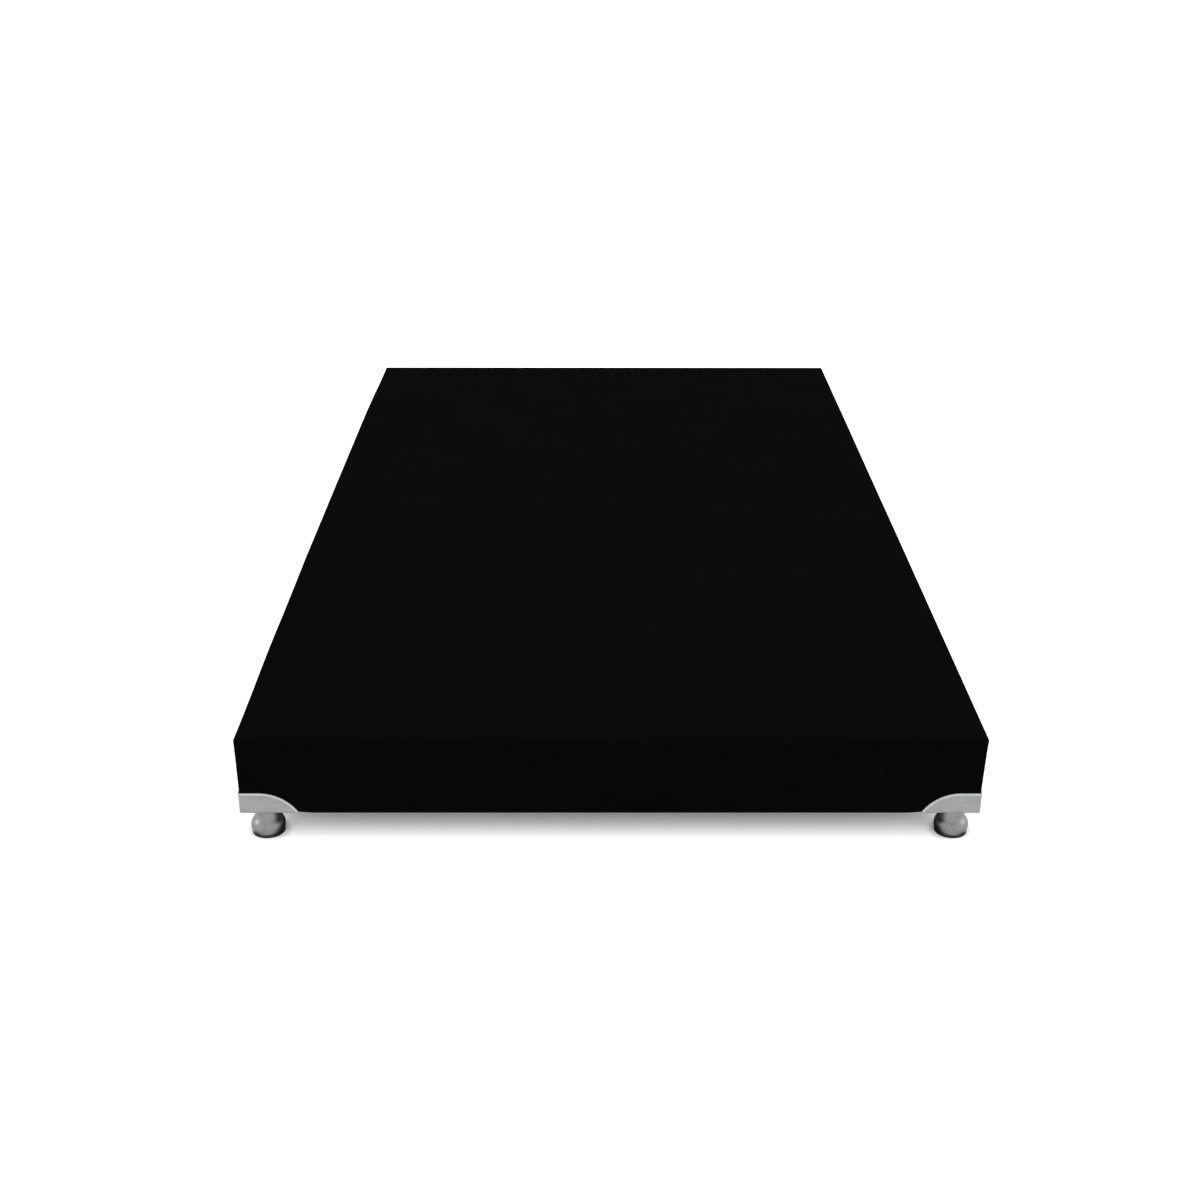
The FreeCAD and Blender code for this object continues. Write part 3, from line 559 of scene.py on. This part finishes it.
def close_weave():
    """A plain weave from threads along U and V, in metres, with slubs in both directions."""
    takes = [
        ("Threads", "Float", 1100.0),
        ("Warp", "Color", (0.0036, 0.0036, 0.0037, 1)),
        ("Weft", "Color", (0.0024, 0.0024, 0.0025, 1)),
        ("Lint", "Color", (0.008, 0.008, 0.008, 1)),
    ]
    tree, takes, gives = effect("close_weave", takes)
    uv = add(tree, "UVMap", uv_map="cloth").outputs[0]
    across = add(tree, "SeparateXYZ", {0: uv}).outputs
    thread = [math_of(tree, "MULTIPLY", across[i], takes["Threads"]) for i in (0, 1)]
    wave = [math_of(tree, "SINE", math_of(tree, "MULTIPLY", t, math.pi)) for t in thread]
    over = math_of(tree, "MULTIPLY", wave[0], wave[1])
    warp_up = ramp_of(tree, over, -0.12, 0.12)
    crown = math_of(tree, "POWER", math_of(tree, "ABSOLUTE", over), 0.5)
    slub_u = noise_of(tree, vector_of(tree, "MULTIPLY", uv, (900.0, 22.0, 1.0)), 1.0, 2.0)
    slub_v = noise_of(tree, vector_of(tree, "MULTIPLY", uv, (22.0, 900.0, 1.0)), 1.0, 2.0)
    slub = mix_of(tree, warp_up, slub_v, slub_u)
    nap = noise_of(tree, uv, 7.0, 4.0, 0.6)
    cloth = mix_of(tree, warp_up, takes["Weft"], takes["Warp"])
    cloudy = math_of(tree, "MULTIPLY_ADD", nap, 0.5, -0.1)
    gain = math_of(tree, "ADD", math_of(tree, "MULTIPLY_ADD", slub, 0.7, 0.35), cloudy)
    cloth = add(tree, "VectorMath", {0: cloth, "Scale": gain}, operation="SCALE").outputs[0]
    fluff = noise_of(tree, uv, 380.0, 3.0, 0.7)
    specks = math_of(tree, "MULTIPLY", ramp_of(tree, fluff, 0.74, 0.80), 0.7)
    tree.links.new(mix_of(tree, specks, cloth, takes["Lint"]), gives["Color"])
    tree.links.new(math_of(tree, "MULTIPLY_ADD", slub, 0.1, 0.85), gives["Rough"])
    tree.links.new(math_of(tree, "MULTIPLY_ADD", slub, 0.35, crown), gives["Height"])
    return tree


weave = close_weave()


def cover_cloth():
    """The black cloth, which has hardly any sheen."""
    material, tree, shader = finish_named("cover_cloth", Specular_IOR_Level=0.004)
    cloth = use(tree, weave)
    feed(tree, shader, cloth["Color"], cloth["Rough"], cloth["Height"], depth=0.00035)
    return material


def spread(low, high, step):
    """Evenly spaced numbers from low to high, about one step apart."""
    count = max(1, round((high - low) / step))
    return [low + (high - low) * i / count for i in range(count + 1)]


def rim_of(half_x, half_y, step):
    """The way round a rectangle, anticlockwise: points, and which way is outward at each.

    A corner gives several entries at one point, whose outward directions fan round it.
    """
    entries = []
    sides = [((half_x, -half_y), (half_x, half_y), 0), ((half_x, half_y), (-half_x, half_y), 90),
             ((-half_x, half_y), (-half_x, -half_y), 180), ((-half_x, -half_y), (half_x, -half_y), 270)]
    for start, end, heading in sides:
        start, end = Vector(start), Vector(end)
        shares = spread(0, 1, step / (end - start).length)
        outward = Vector((math.cos(math.radians(heading)), math.sin(math.radians(heading))))
        entries += [(start.lerp(end, share), outward) for share in shares]
        for i in range(1, CORNER_STEPS):
            angle = math.radians(heading + 90 * i / CORNER_STEPS)
            entries.append((end, Vector((math.cos(angle), math.sin(angle)))))
    return entries


def skirt(rim, profile, softness=None):
    """Points for a strip that follows the rim. profile is (how far out, height) for each row."""
    points = []
    for out, height in profile:
        for place, outward in rim:
            flat = place + outward * out
            point = Vector((flat.x, flat.y, height))
            points.append(point + softness(point, outward) if softness else point)
    return points


def strip_faces(first, rows, count, wind=1):
    """Quads between rows of points that go all the way round."""
    faces = []
    for row in range(rows - 1):
        low, high = first + row * count, first + (row + 1) * count
        for i in range(count):
            j = (i + 1) % count
            quad = (low + i, low + j, high + j, high + i)
            faces.append(quad if wind > 0 else quad[::-1])
    return faces


def lay_uv(piece, uv_of):
    """Writes the cloth's own metre coordinates to each corner of each face."""
    layer = piece.data.uv_layers.new(name="cloth")
    for loop in piece.data.loops:
        layer.data[loop.index].uv = uv_of(loop.vertex_index)


INNER_X, INNER_Y = HALF_X - EDGE_ROUND, HALF_Y - EDGE_ROUND


def arc(first, last, steps, radius=EDGE_ROUND):
    """Rows of (out, height) round the top edge, from one angle to another, from straight up."""
    rows = []
    for i in range(steps + 1):
        angle = math.radians(first + (last - first) * i / steps)
        rows.append((radius * math.sin(angle), TOP - EDGE_ROUND + radius * math.cos(angle)))
    return rows


def at_seam(depth):
    """One (out, height) at the seam, that far in from the cover's edge."""
    return arc(45, 45, 1, EDGE_ROUND - depth)[0]


def unevenness(point):
    """The soft, slightly lumpy lie of the top, which is never above the flat."""
    fall = 0.0
    for scale_x, scale_y, seed, depth in LUMPS:
        lump = noise.noise(Vector((point.x * scale_x, point.y * scale_y, seed)))
        fall += depth * (0.5 + 0.5 * lump)
    return -fall


def top_panel():
    """The panel as a grid, with its edge rolled over and tucked into the seam."""
    xs, ys = spread(-INNER_X, INNER_X, CELL), spread(-INNER_Y, INNER_Y, CELL)
    rim = rim_of(INNER_X, INNER_Y, CELL)
    index = {}
    points = []
    for y in ys:
        for x in xs:
            index[(round(x, 5), round(y, 5))] = len(points)
            edge = min(INNER_X - abs(x), INNER_Y - abs(y))
            fade = min(1.0, edge / 0.03)
            points.append(Vector((x, y, TOP + fade * unevenness(Vector((x, y, 0))))))
    wide = len(xs)
    faces = [
        (i + j * wide, i + 1 + j * wide, i + 1 + (j + 1) * wide, i + (j + 1) * wide)
        for j in range(len(ys) - 1)
        for i in range(wide - 1)
    ]
    rows = arc(0, 38, 3)[1:] + [at_seam(DITCH * 0.45), at_seam(DITCH), at_seam(SEAM_ALLOWANCE)]
    first = len(points)
    points += skirt(rim, rows)
    count = len(rim)
    inner = [index[(round(p.x, 5), round(p.y, 5))] for p, _ in rim]
    for i in range(count):
        j = (i + 1) % count
        face = (inner[i], first + i, first + j, inner[j])
        faces.append(face if inner[i] != inner[j] else face[:3])
    faces += strip_faces(first, len(rows), count, wind=-1)
    return mesh_piece("top_panel", points, faces), list(range(first, len(points)))


def settle(piece, sewn, steps, most):
    """Lets the foam's pressure lift a cloth that is held where it is sewn. most caps each move."""
    start = [vert.co.copy() for vert in piece.data.vertices]
    piece.vertex_groups.new(name="sewn").add(sewn, 1.0, "REPLACE")
    lie = piece.modifiers.new("lie", "CLOTH")
    lie.settings.vertex_group_mass = "sewn"
    lie.settings.quality = 6
    lie.settings.use_pressure = True
    lie.settings.uniform_pressure_force = 4
    lie.settings.effector_weights.gravity = 0
    lie.collision_settings.use_collision = False
    scene = bpy.context.scene
    for step in range(1, steps + 1):
        scene.frame_set(step)
    settled = piece.evaluated_get(bpy.context.evaluated_depsgraph_get()).to_mesh()
    moves = [vert.co - at for vert, at in zip(settled.vertices, start)]
    piece.modifiers.remove(lie)
    scene.frame_set(1)
    for vert, at, move in zip(piece.data.vertices, start, moves):
        share = move.length / most
        vert.co = at + move * (math.tanh(share) / share if share > 1e-6 else 1.0)


def thicken(piece, thick, offset=-1.0):
    """Gives a sheet its thickness, on its inner side."""
    solid = piece.modifiers.new("thickness", "SOLIDIFY")
    solid.thickness = thick
    solid.offset = offset
    solid.use_rim = True


cloth = cover_cloth()
panel, sewn_edge = top_panel()
swell(panel)
lay_uv(panel, lambda i: (panel.data.vertices[i].co.x, panel.data.vertices[i].co.y))
settle(panel, sewn_edge, SETTLE_STEPS, CROWN)
thicken(panel, CLOTH_THICK)
dress(panel, cloth)
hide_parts("cover_top_panel")
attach(panel, "platform")


def seam_thread():
    """The stitches that show in the ditch between the panel and the band, as short sunk loops."""
    out, height = at_seam(DITCH * 0.7)
    points, faces = [], []
    for along, far, side in ((Vector((0, 1, 0)), INNER_Y, Vector((1, 0, 0))),
                             (Vector((1, 0, 0)), INNER_X, Vector((0, 1, 0)))):
        reach = (INNER_X if side.x else INNER_Y) + out
        for sign in (-1, 1):
            for place in spread(-far + STITCH, far - STITCH, STITCH):
                first = len(points)
                for step, sunk in ((-0.35, 0.0006), (-0.2, 0.0001), (0.2, 0.0001), (0.35, 0.0006)):
                    middle = along * (place + step * STITCH) + side * sign * (reach - sunk)
                    middle.z = height - sunk
                    middle += swelling(middle)
                    across = side * sign * THREAD_HALF
                    up = Vector((0, 0, THREAD_HALF))
                    points += [middle + across, middle + up, middle - across, middle - up]
                for ring in range(3):
                    for k in range(4):
                        low, high = first + 4 * ring + k, first + 4 * ring + (k + 1) % 4
                        faces.append((low, high, high + 4, low + 4))
                faces.append(tuple(first + k for k in (3, 2, 1, 0)))
                faces.append(tuple(first + k for k in (12, 13, 14, 15)))
    piece = mesh_piece("seam_thread", points, faces)
    bm = bmesh.new()
    bm.from_mesh(piece.data)
    bmesh.ops.recalc_face_normals(bm, faces=bm.faces)
    bm.to_mesh(piece.data)
    bm.free()
    return piece


def black_thread():
    """Twisted polyester thread."""
    material, tree, shader = finish_named("black_thread", Specular_IOR_Level=0.1)
    place = object_place(tree)
    twist = noise_of(tree, place, 2600.0, 2.0)
    dark = mix_of(tree, twist, (0.003, 0.003, 0.003, 1), (0.010, 0.010, 0.010, 1))
    feed(tree, shader, dark, math_of(tree, "MULTIPLY_ADD", twist, 0.2, 0.6), twist, depth=0.0001)
    return material


thread = seam_thread()
dress(thread, black_thread())
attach(thread, "platform")


def pull(point, outward):
    """How the band gives: soft hollows on the wadding, and small scallops above the staples."""
    along = point.x * abs(outward.y) + point.y * abs(outward.x)
    rise = point.z - cover_low.z
    hollow = 0.5 + 0.5 * noise.noise(Vector((point.x * 5, point.y * 5, point.z * 9)))
    middle = max(0.0, min(1.0, rise / 0.02)) * max(0.0, min(1.0, (TOP - EDGE_ROUND - point.z) / 0.012))
    scallop = 0.5 + 0.5 * math.cos(2 * math.pi * along / STAPLE_PITCH)
    scallop *= math.exp(-max(0.0, rise) / 0.014)
    inward = HOLLOW * hollow * middle + SCALLOP * scallop
    return Vector((-outward.x * inward, -outward.y * inward, 0))


def smooth_step(value, low, high):
    """0 below low and 1 above high, with a smooth change between."""
    share = max(0.0, min(1.0, (value - low) / (high - low)))
    return share * share * (3 - 2 * share)


def hang(point):
    """How far the folded lower edge hangs down, which is nothing at the guards."""
    past_edge = max(abs(point.x) - HALF_X, abs(point.y) - HALF_Y)
    to_corner = max(HALF_X - abs(point.x), HALF_Y - abs(point.y))
    near_fold = smooth_step(past_edge, -0.0085, -0.004)
    near_fold *= 1 - smooth_step(point.z - cover_low.z, 0.004, 0.02)
    return UNDER_SAG * near_fold * smooth_step(to_corner, GUARD_REACH, GUARD_REACH + GUARD_EASE)


def side_band():
    """The band: out of the seam, down the side, round the rails' lower edge and in under them."""
    rim = rim_of(INNER_X, INNER_Y, CELL)
    bottom = cover_low.z
    turned_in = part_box("cover_band")[1].x - TURNED_UNDER
    rows = [at_seam(SEAM_ALLOWANCE), at_seam(DITCH), at_seam(DITCH * 0.45)] + arc(52, 90, 3)
    side_top = rows[-1][1]
    rows += [(EDGE_ROUND, z) for z in spread(bottom + UNDER_ROUND, side_top, SIDE_CELL)[::-1][1:]]
    for i in range(1, 4):
        angle = math.radians(30 * i)
        out = EDGE_ROUND - UNDER_ROUND * (1 - math.cos(angle))
        rows.append((out, bottom + UNDER_ROUND * (1 - math.sin(angle))))
    rows += [(out, bottom) for out in (0.0012, -0.0015, -0.0035, -0.006)]
    rows.append((turned_in - INNER_X, bottom))
    piece = mesh_piece("side_band", skirt(rim, rows, pull), strip_faces(0, len(rows), len(rim), wind=-1))
    for vert in piece.data.vertices:
        vert.co.z -= hang(vert.co)
    lengths = [0.0]
    for (out_a, z_a), (out_b, z_b) in zip(rows, rows[1:]):
        lengths.append(lengths[-1] + math.hypot(out_b - out_a, z_b - z_a))
    around = [0.0]
    for (a, out_a), (b, out_b) in zip(rim, rim[1:]):
        around.append(around[-1] + ((b + out_b * EDGE_ROUND) - (a + out_a * EDGE_ROUND)).length)
    count = len(rim)
    lay_uv(piece, lambda i: (around[i % count], lengths[i // count]))
    swell(piece)
    return piece, around[-1], lengths[-1]


band, band_long, band_tall = side_band()
thicken(band, CLOTH_THICK)
dress(band, cloth)
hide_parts("cover_band")
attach(band, "platform")

# ------------------------------------------------------------------ corner guards
# Silver-grey moulded plastic, screwed up through its bottom plate over the cover. It has a fine
# satin grain and faint flow marks, a painted highlight on its raised rim and painted shade along
# its lower edge.


def moulded():
    """A fine satin skin with flow marks, with painted shade darkening it along its lower edge."""
    takes = [
        ("Place", "Vector", None),
        ("Body", "Color", (0.37, 0.375, 0.385, 1)),
        ("Rubbed", "Color", (0.55, 0.555, 0.56, 1)),
        ("Lower Edge", "Float", 0.0),
    ]
    tree, takes, gives = effect("moulded_satin", takes)
    flow = noise_of(tree, vector_of(tree, "MULTIPLY", takes["Place"], (1.0, 1.0, 2.5)), 42.0, 3.0, 0.6)
    satin = noise_of(tree, takes["Place"], 2400.0, 2.0)
    shade = math_of(tree, "MULTIPLY_ADD", flow, 0.9, -0.2)
    skin = mix_of(tree, shade, takes["Body"], takes["Rubbed"])
    height = add(tree, "SeparateXYZ", {0: takes["Place"]}).outputs[2]
    above_edge = math_of(tree, "SUBTRACT", height, takes["Lower Edge"])
    # Painted shade: the colour goes nearly black over the lowest two millimetres of the guard.
    painted_edge_shade = math_of(tree, "SUBTRACT", 1.0, ramp_of(tree, above_edge, 0.0004, 0.0020))
    dark = mix_of(tree, math_of(tree, "MULTIPLY", painted_edge_shade, 0.6), skin, (0.05, 0.05, 0.05, 1))
    tree.links.new(dark, gives["Color"])
    tree.links.new(math_of(tree, "MULTIPLY_ADD", flow, 0.14, 0.30), gives["Rough"])
    tree.links.new(satin, gives["Height"])
    return tree


moulded_effect = moulded()
guard_low, guard_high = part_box("corner_guard_back_right")
RIM_PROUD = 0.0004
guard_face = guard_high - Vector((RIM_PROUD, RIM_PROUD, 0))


def silver_plastic(name, body, rubbed):
    """The guards' plastic, between the body's grey and a paler rubbed one."""
    material, tree, shader = finish_named(name, Metallic=0.15)
    low_edge = guard_low.z
    skin = use(tree, moulded_effect, Place=object_place(tree), Body=body, Rubbed=rubbed, Lower_Edge=low_edge)
    feed(tree, shader, skin["Color"], skin["Rough"], skin["Height"], depth=0.00003)
    return material


def on_rim(point):
    """Whether a point is on the raised rim, which stands out past the rest of the guard."""
    return max(abs(point.x) - guard_face.x, abs(point.y) - guard_face.y) > 0.0001


plastic = silver_plastic("silver_plastic", (0.265, 0.268, 0.272, 1), (0.40, 0.403, 0.407, 1))
# A paler copy of the plastic for the raised rim: a painted highlight along it.
bright_rim = silver_plastic("bright_rim", (0.45, 0.453, 0.457, 1), (0.60, 0.60, 0.60, 1))
for name in list(nodes):
    if not name.startswith("corner_guard_"):
        continue
    guard = nodes[name].copy()
    guard.data = nodes[name].data.copy()
    guard.name = name.replace("corner_guard", "moulded_guard")
    guard.parent = None
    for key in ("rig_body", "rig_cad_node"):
        del guard[key]
    bpy.context.scene.collection.objects.link(guard)
    bm = bmesh.new()
    bm.from_mesh(guard.data)
    bmesh.ops.remove_doubles(bm, verts=bm.verts, dist=0.00002)
    bmesh.ops.dissolve_limit(bm, angle_limit=math.radians(0.5), verts=bm.verts, edges=bm.edges)
    bm.to_mesh(guard.data)
    bm.free()
    guard.data.polygons.foreach_set("use_smooth", [True] * len(guard.data.polygons))
    soft_edge = guard.modifiers.new("soft_edge", "BEVEL")
    soft_edge.width = 0.00035
    soft_edge.segments = 3
    soft_edge.angle_limit = math.radians(35)
    flat_faces = guard.modifiers.new("flat_faces", "WEIGHTED_NORMAL")
    flat_faces.weight = 100
    flat_faces.keep_sharp = True
    dress(guard, plastic)
    guard.data.materials.append(bright_rim)
    # Faces on the raised rim take the paler copy, which paints the rim's highlight.
    for face in guard.data.polygons:
        face.material_index = int(on_rim(face.center))
    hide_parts(name)
    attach(guard, "platform")

# ------------------------------------------------------------------ dust cover
# A thin black spun-bonded cloth, stapled round the underside. It hangs in a shallow belly between
# its staples and has the pressed dot pattern of such cloth.


def spun_bonded():
    """Black fibres pressed together in rows of dots."""
    material, tree, shader = finish_named("spun_bonded", Specular_IOR_Level=0.15)
    uv = add(tree, "UVMap", uv_map="cloth").outputs[0]
    dots = add(tree, "TexVoronoi", {"Vector": uv, "Scale": 620.0, "Randomness": 0.25}).outputs[0]
    pressed = ramp_of(tree, dots, 0.18, 0.36)
    fibres = noise_of(tree, uv, 1500.0, 4.0, 0.75)
    cloudy = noise_of(tree, uv, 30.0, 4.0, 0.6)
    shade = math_of(tree, "MULTIPLY_ADD", fibres, 0.5, math_of(tree, "MULTIPLY", cloudy, 0.5))
    black = mix_of(tree, shade, (0.008, 0.008, 0.009, 1), (0.026, 0.026, 0.028, 1))
    rough = math_of(tree, "MULTIPLY_ADD", pressed, 0.25, 0.6)
    feed(tree, shader, black, rough, pressed, depth=0.00012)
    return material


DUST_CELL = 0.016
DUST_THICK = 0.0003
STUD_GAP = 0.005  # half of the opening round each middle stud
CORNER_CUT = 0.11
BELLY = 0.004
CREASE = 0.0008
low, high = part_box("dust_cover")
dust_z = low.z + 0.0002


def belly(x, y):
    """How far the middle of the cloth hangs down, with a little creasing."""
    share = (1 - (x / high.x) ** 2) * (1 - (y / high.y) ** 2)
    crease = noise.noise(Vector((x * 9, y * 4, 5.0))) * CREASE
    return -BELLY * share ** 0.6 + crease * min(1.0, 6 * share)


def dust_cloth():
    """A grid with an opening round each middle stud, and its corners cut off short of the guards."""
    stud = sum(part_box("foot_stud_middle_right"), Vector()) / 2

    def lines(limit, marks):
        """Grid lines from edge to edge, with a pair of lines close round each mark."""
        stops = [-limit]
        for mark in marks:
            stops += [mark - STUD_GAP, mark + STUD_GAP]
        stops.append(limit)
        found = []
        for a, b in zip(stops, stops[1:]):
            found += spread(a, b, DUST_CELL)[:-1]
        return found + [limit]

    xs, ys = lines(high.x, (-stud.x, stud.x)), lines(high.y, (0.0,))
    points = [Vector((x, y, dust_z + belly(x, y))) for y in ys for x in xs]
    wide = len(xs)
    faces = []
    for j in range(len(ys) - 1):
        for i in range(wide - 1):
            x, y = (xs[i] + xs[i + 1]) / 2, (ys[j] + ys[j + 1]) / 2
            if abs(abs(x) - stud.x) > STUD_GAP or abs(y) > STUD_GAP:
                faces.append((i + j * wide, i + (j + 1) * wide, i + 1 + (j + 1) * wide, i + 1 + j * wide))
    piece = mesh_piece("dust_cloth", points, faces)
    bm = bmesh.new()
    bm.from_mesh(piece.data)
    for sx, sy in ((1, 1), (-1, 1), (-1, -1), (1, -1)):
        cut = (sx * (high.x - CORNER_CUT), sy * high.y, 0)
        geometry = [*bm.verts, *bm.edges, *bm.faces]
        bmesh.ops.bisect_plane(bm, geom=geometry, plane_co=cut, plane_no=(sx, sy, 0), clear_outer=True)
    bmesh.ops.delete(bm, geom=[v for v in bm.verts if not v.link_faces], context="VERTS")
    bm.to_mesh(piece.data)
    bm.free()
    piece.data.polygons.foreach_set("use_smooth", [True] * len(piece.data.polygons))
    return piece


dust = dust_cloth()
lay_uv(dust, lambda i: (dust.data.vertices[i].co.x, dust.data.vertices[i].co.y))
thicken(dust, DUST_THICK, 0.0)
dress(dust, spun_bonded())
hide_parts("dust_cover")
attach(dust, "platform")

# ------------------------------------------------------------------ floor and light
# A white studio floor and an even white surround. The floor moves with the front left glide, so that
# it stays under the base when the feet are screwed out.

DEEP_GLOW = 0.18  # white added to the floor well in under the base
EDGE_GLOW = 0.26  # how much more is added towards its edge
BACKDROP_GLOW = 0.40  # how much more again is added well away from it
CONTACT_GLOW = 0.35  # the share of all this glow that is left where a foot touches the floor: a painted contact shadow
# Where each change starts and ends: from the base's side, less than 0 being under it, or from a foot.
EDGE_RAMP = (-0.085, -0.015)
BACKDROP_RAMP = (0.0, 0.25)
MIRROR_RAMP = (-0.016, -0.002)
CONTACT_RAMP = (0.0235, 0.037)
foot_low, foot_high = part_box("foot_shell_back_right")
foot_spot = (foot_low + foot_high) / 2


def studio_white():
    """White paper with white light painted on for the camera, most well away from the base and less in under
    it and round each foot, which paints a contact shadow there; in reflections it is painted dark from under
    the base.

    The reflections are darkened only where the base keeps the light off the floor.
    """
    material, tree, shader = finish_named("studio_white", Roughness=0.9, Specular_IOR_Level=0.0)
    place = object_place(tree)
    paper = noise_of(tree, place, 60.0, 2.0)
    white = mix_of(tree, paper, (0.85, 0.85, 0.85, 1), (0.88, 0.88, 0.88, 1))
    flat = add(tree, "SeparateXYZ", {0: vector_of(tree, "ABSOLUTE", place, (0, 0, 0))}).outputs
    past = [math_of(tree, "SUBTRACT", flat[axis], cad_box[1][axis]) for axis in (0, 1)]
    past = math_of(tree, "MAXIMUM", *past)
    glow = math_of(tree, "MULTIPLY_ADD", ramp_of(tree, past, *EDGE_RAMP), EDGE_GLOW, DEEP_GLOW)
    glow = math_of(tree, "MULTIPLY_ADD", ramp_of(tree, past, *BACKDROP_RAMP), BACKDROP_GLOW, glow)
    across = math_of(tree, "SUBTRACT", flat[0], foot_spot.x)
    along = math_of(tree, "ABSOLUTE", math_of(tree, "SUBTRACT", flat[1], foot_spot.y))
    along = math_of(tree, "MINIMUM", along, flat[1])
    to_foot = add(tree, "CombineXYZ", {0: across, 1: along}).outputs[0]
    to_foot = add(tree, "VectorMath", {0: to_foot}, operation="LENGTH").outputs["Value"]
    # Painted contact shadow: the glow is cut back round each foot.
    open_floor = ramp_of(tree, to_foot, *CONTACT_RAMP)
    glow_kept_by_painted_shadow = math_of(tree, "MULTIPLY_ADD", open_floor, 1 - CONTACT_GLOW, CONTACT_GLOW)
    glow = math_of(tree, "MULTIPLY", glow, glow_kept_by_painted_shadow)
    path = add(tree, "LightPath").outputs
    # Painted reflection: rays reflected from the feet see a near-black floor in under the base.
    dark_reflection_mask = math_of(tree, "SUBTRACT", 1.0, ramp_of(tree, past, *MIRROR_RAMP))
    painted_dark_reflection = math_of(tree, "MULTIPLY", path["Is Glossy Ray"], dark_reflection_mask)
    feed(tree, shader, mix_of(tree, painted_dark_reflection, white, (0.02, 0.02, 0.02, 1)))
    strength = math_of(tree, "MULTIPLY", path["Is Camera Ray"], glow)
    shine = add(tree, "Emission", {"Color": (1, 1, 1, 1), "Strength": strength})
    both = add(tree, "AddShader", {0: shader.outputs[0], 1: shine.outputs[0]})
    tree.links.new(both.outputs[0], tree.nodes["Material Output"].inputs["Surface"])
    return material


FLOOR_HALF = 30.0
corners = [(sx * FLOOR_HALF, sy * FLOOR_HALF, 0) for sx, sy in ((-1, -1), (1, -1), (1, 1), (-1, 1))]
floor = mesh_piece("floor", corners, [(0, 1, 2, 3)])
dress(floor, studio_white())
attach(floor, "glide_front_left")

world = bpy.data.worlds.new("studio")
bpy.context.scene.world = world
world.use_nodes = True
tree = world.node_tree
backdrop = tree.nodes["Background"]
backdrop.inputs["Color"].default_value = (1, 1, 1, 1)
path = add(tree, "LightPath").outputs
seen = math_of(tree, "MAXIMUM", path["Is Camera Ray"], path["Is Glossy Ray"])
seen = math_of(tree, "MAXIMUM", seen, path["Is Transmission Ray"])
LIGHT_GIVEN, WHITE_SEEN = 0.75, 1.0
shares = {0: seen, 2: LIGHT_GIVEN, 3: WHITE_SEEN}
strength = add(tree, "Mix", shares, data_type="FLOAT").outputs[0]
tree.links.new(strength, backdrop.inputs["Strength"])


def softbox(name, place, target, wide, tall, watts):
    """A rectangular studio lamp that faces one point."""
    lamp = bpy.data.lights.new(name, "AREA")
    lamp.shape = "RECTANGLE"
    lamp.size, lamp.size_y = wide, tall
    lamp.energy = watts
    holder = bpy.data.objects.new(name, lamp)
    holder.location = place
    aim = Vector(target) - Vector(place)
    holder.rotation_euler = aim.to_track_quat("-Z", "Y").to_euler()
    bpy.context.scene.collection.objects.link(holder)
    return holder


overhead = softbox("overhead_softbox", (0.0, -2.6, 2.8), (0, -0.6, 0), 3.0, 3.4, 66)
overhead.visible_glossy = False  # the white surround is what shows in the plated feet
softbox("left_softbox", (-2.8, -0.9, 1.4), (0, -0.8, 0.1), 1.2, 1.6, 16)
softbox("right_softbox", (2.8, -0.9, 1.4), (0, -0.8, 0.1), 1.2, 1.6, 16)

bpy.context.scene.view_settings.view_transform = "Standard"
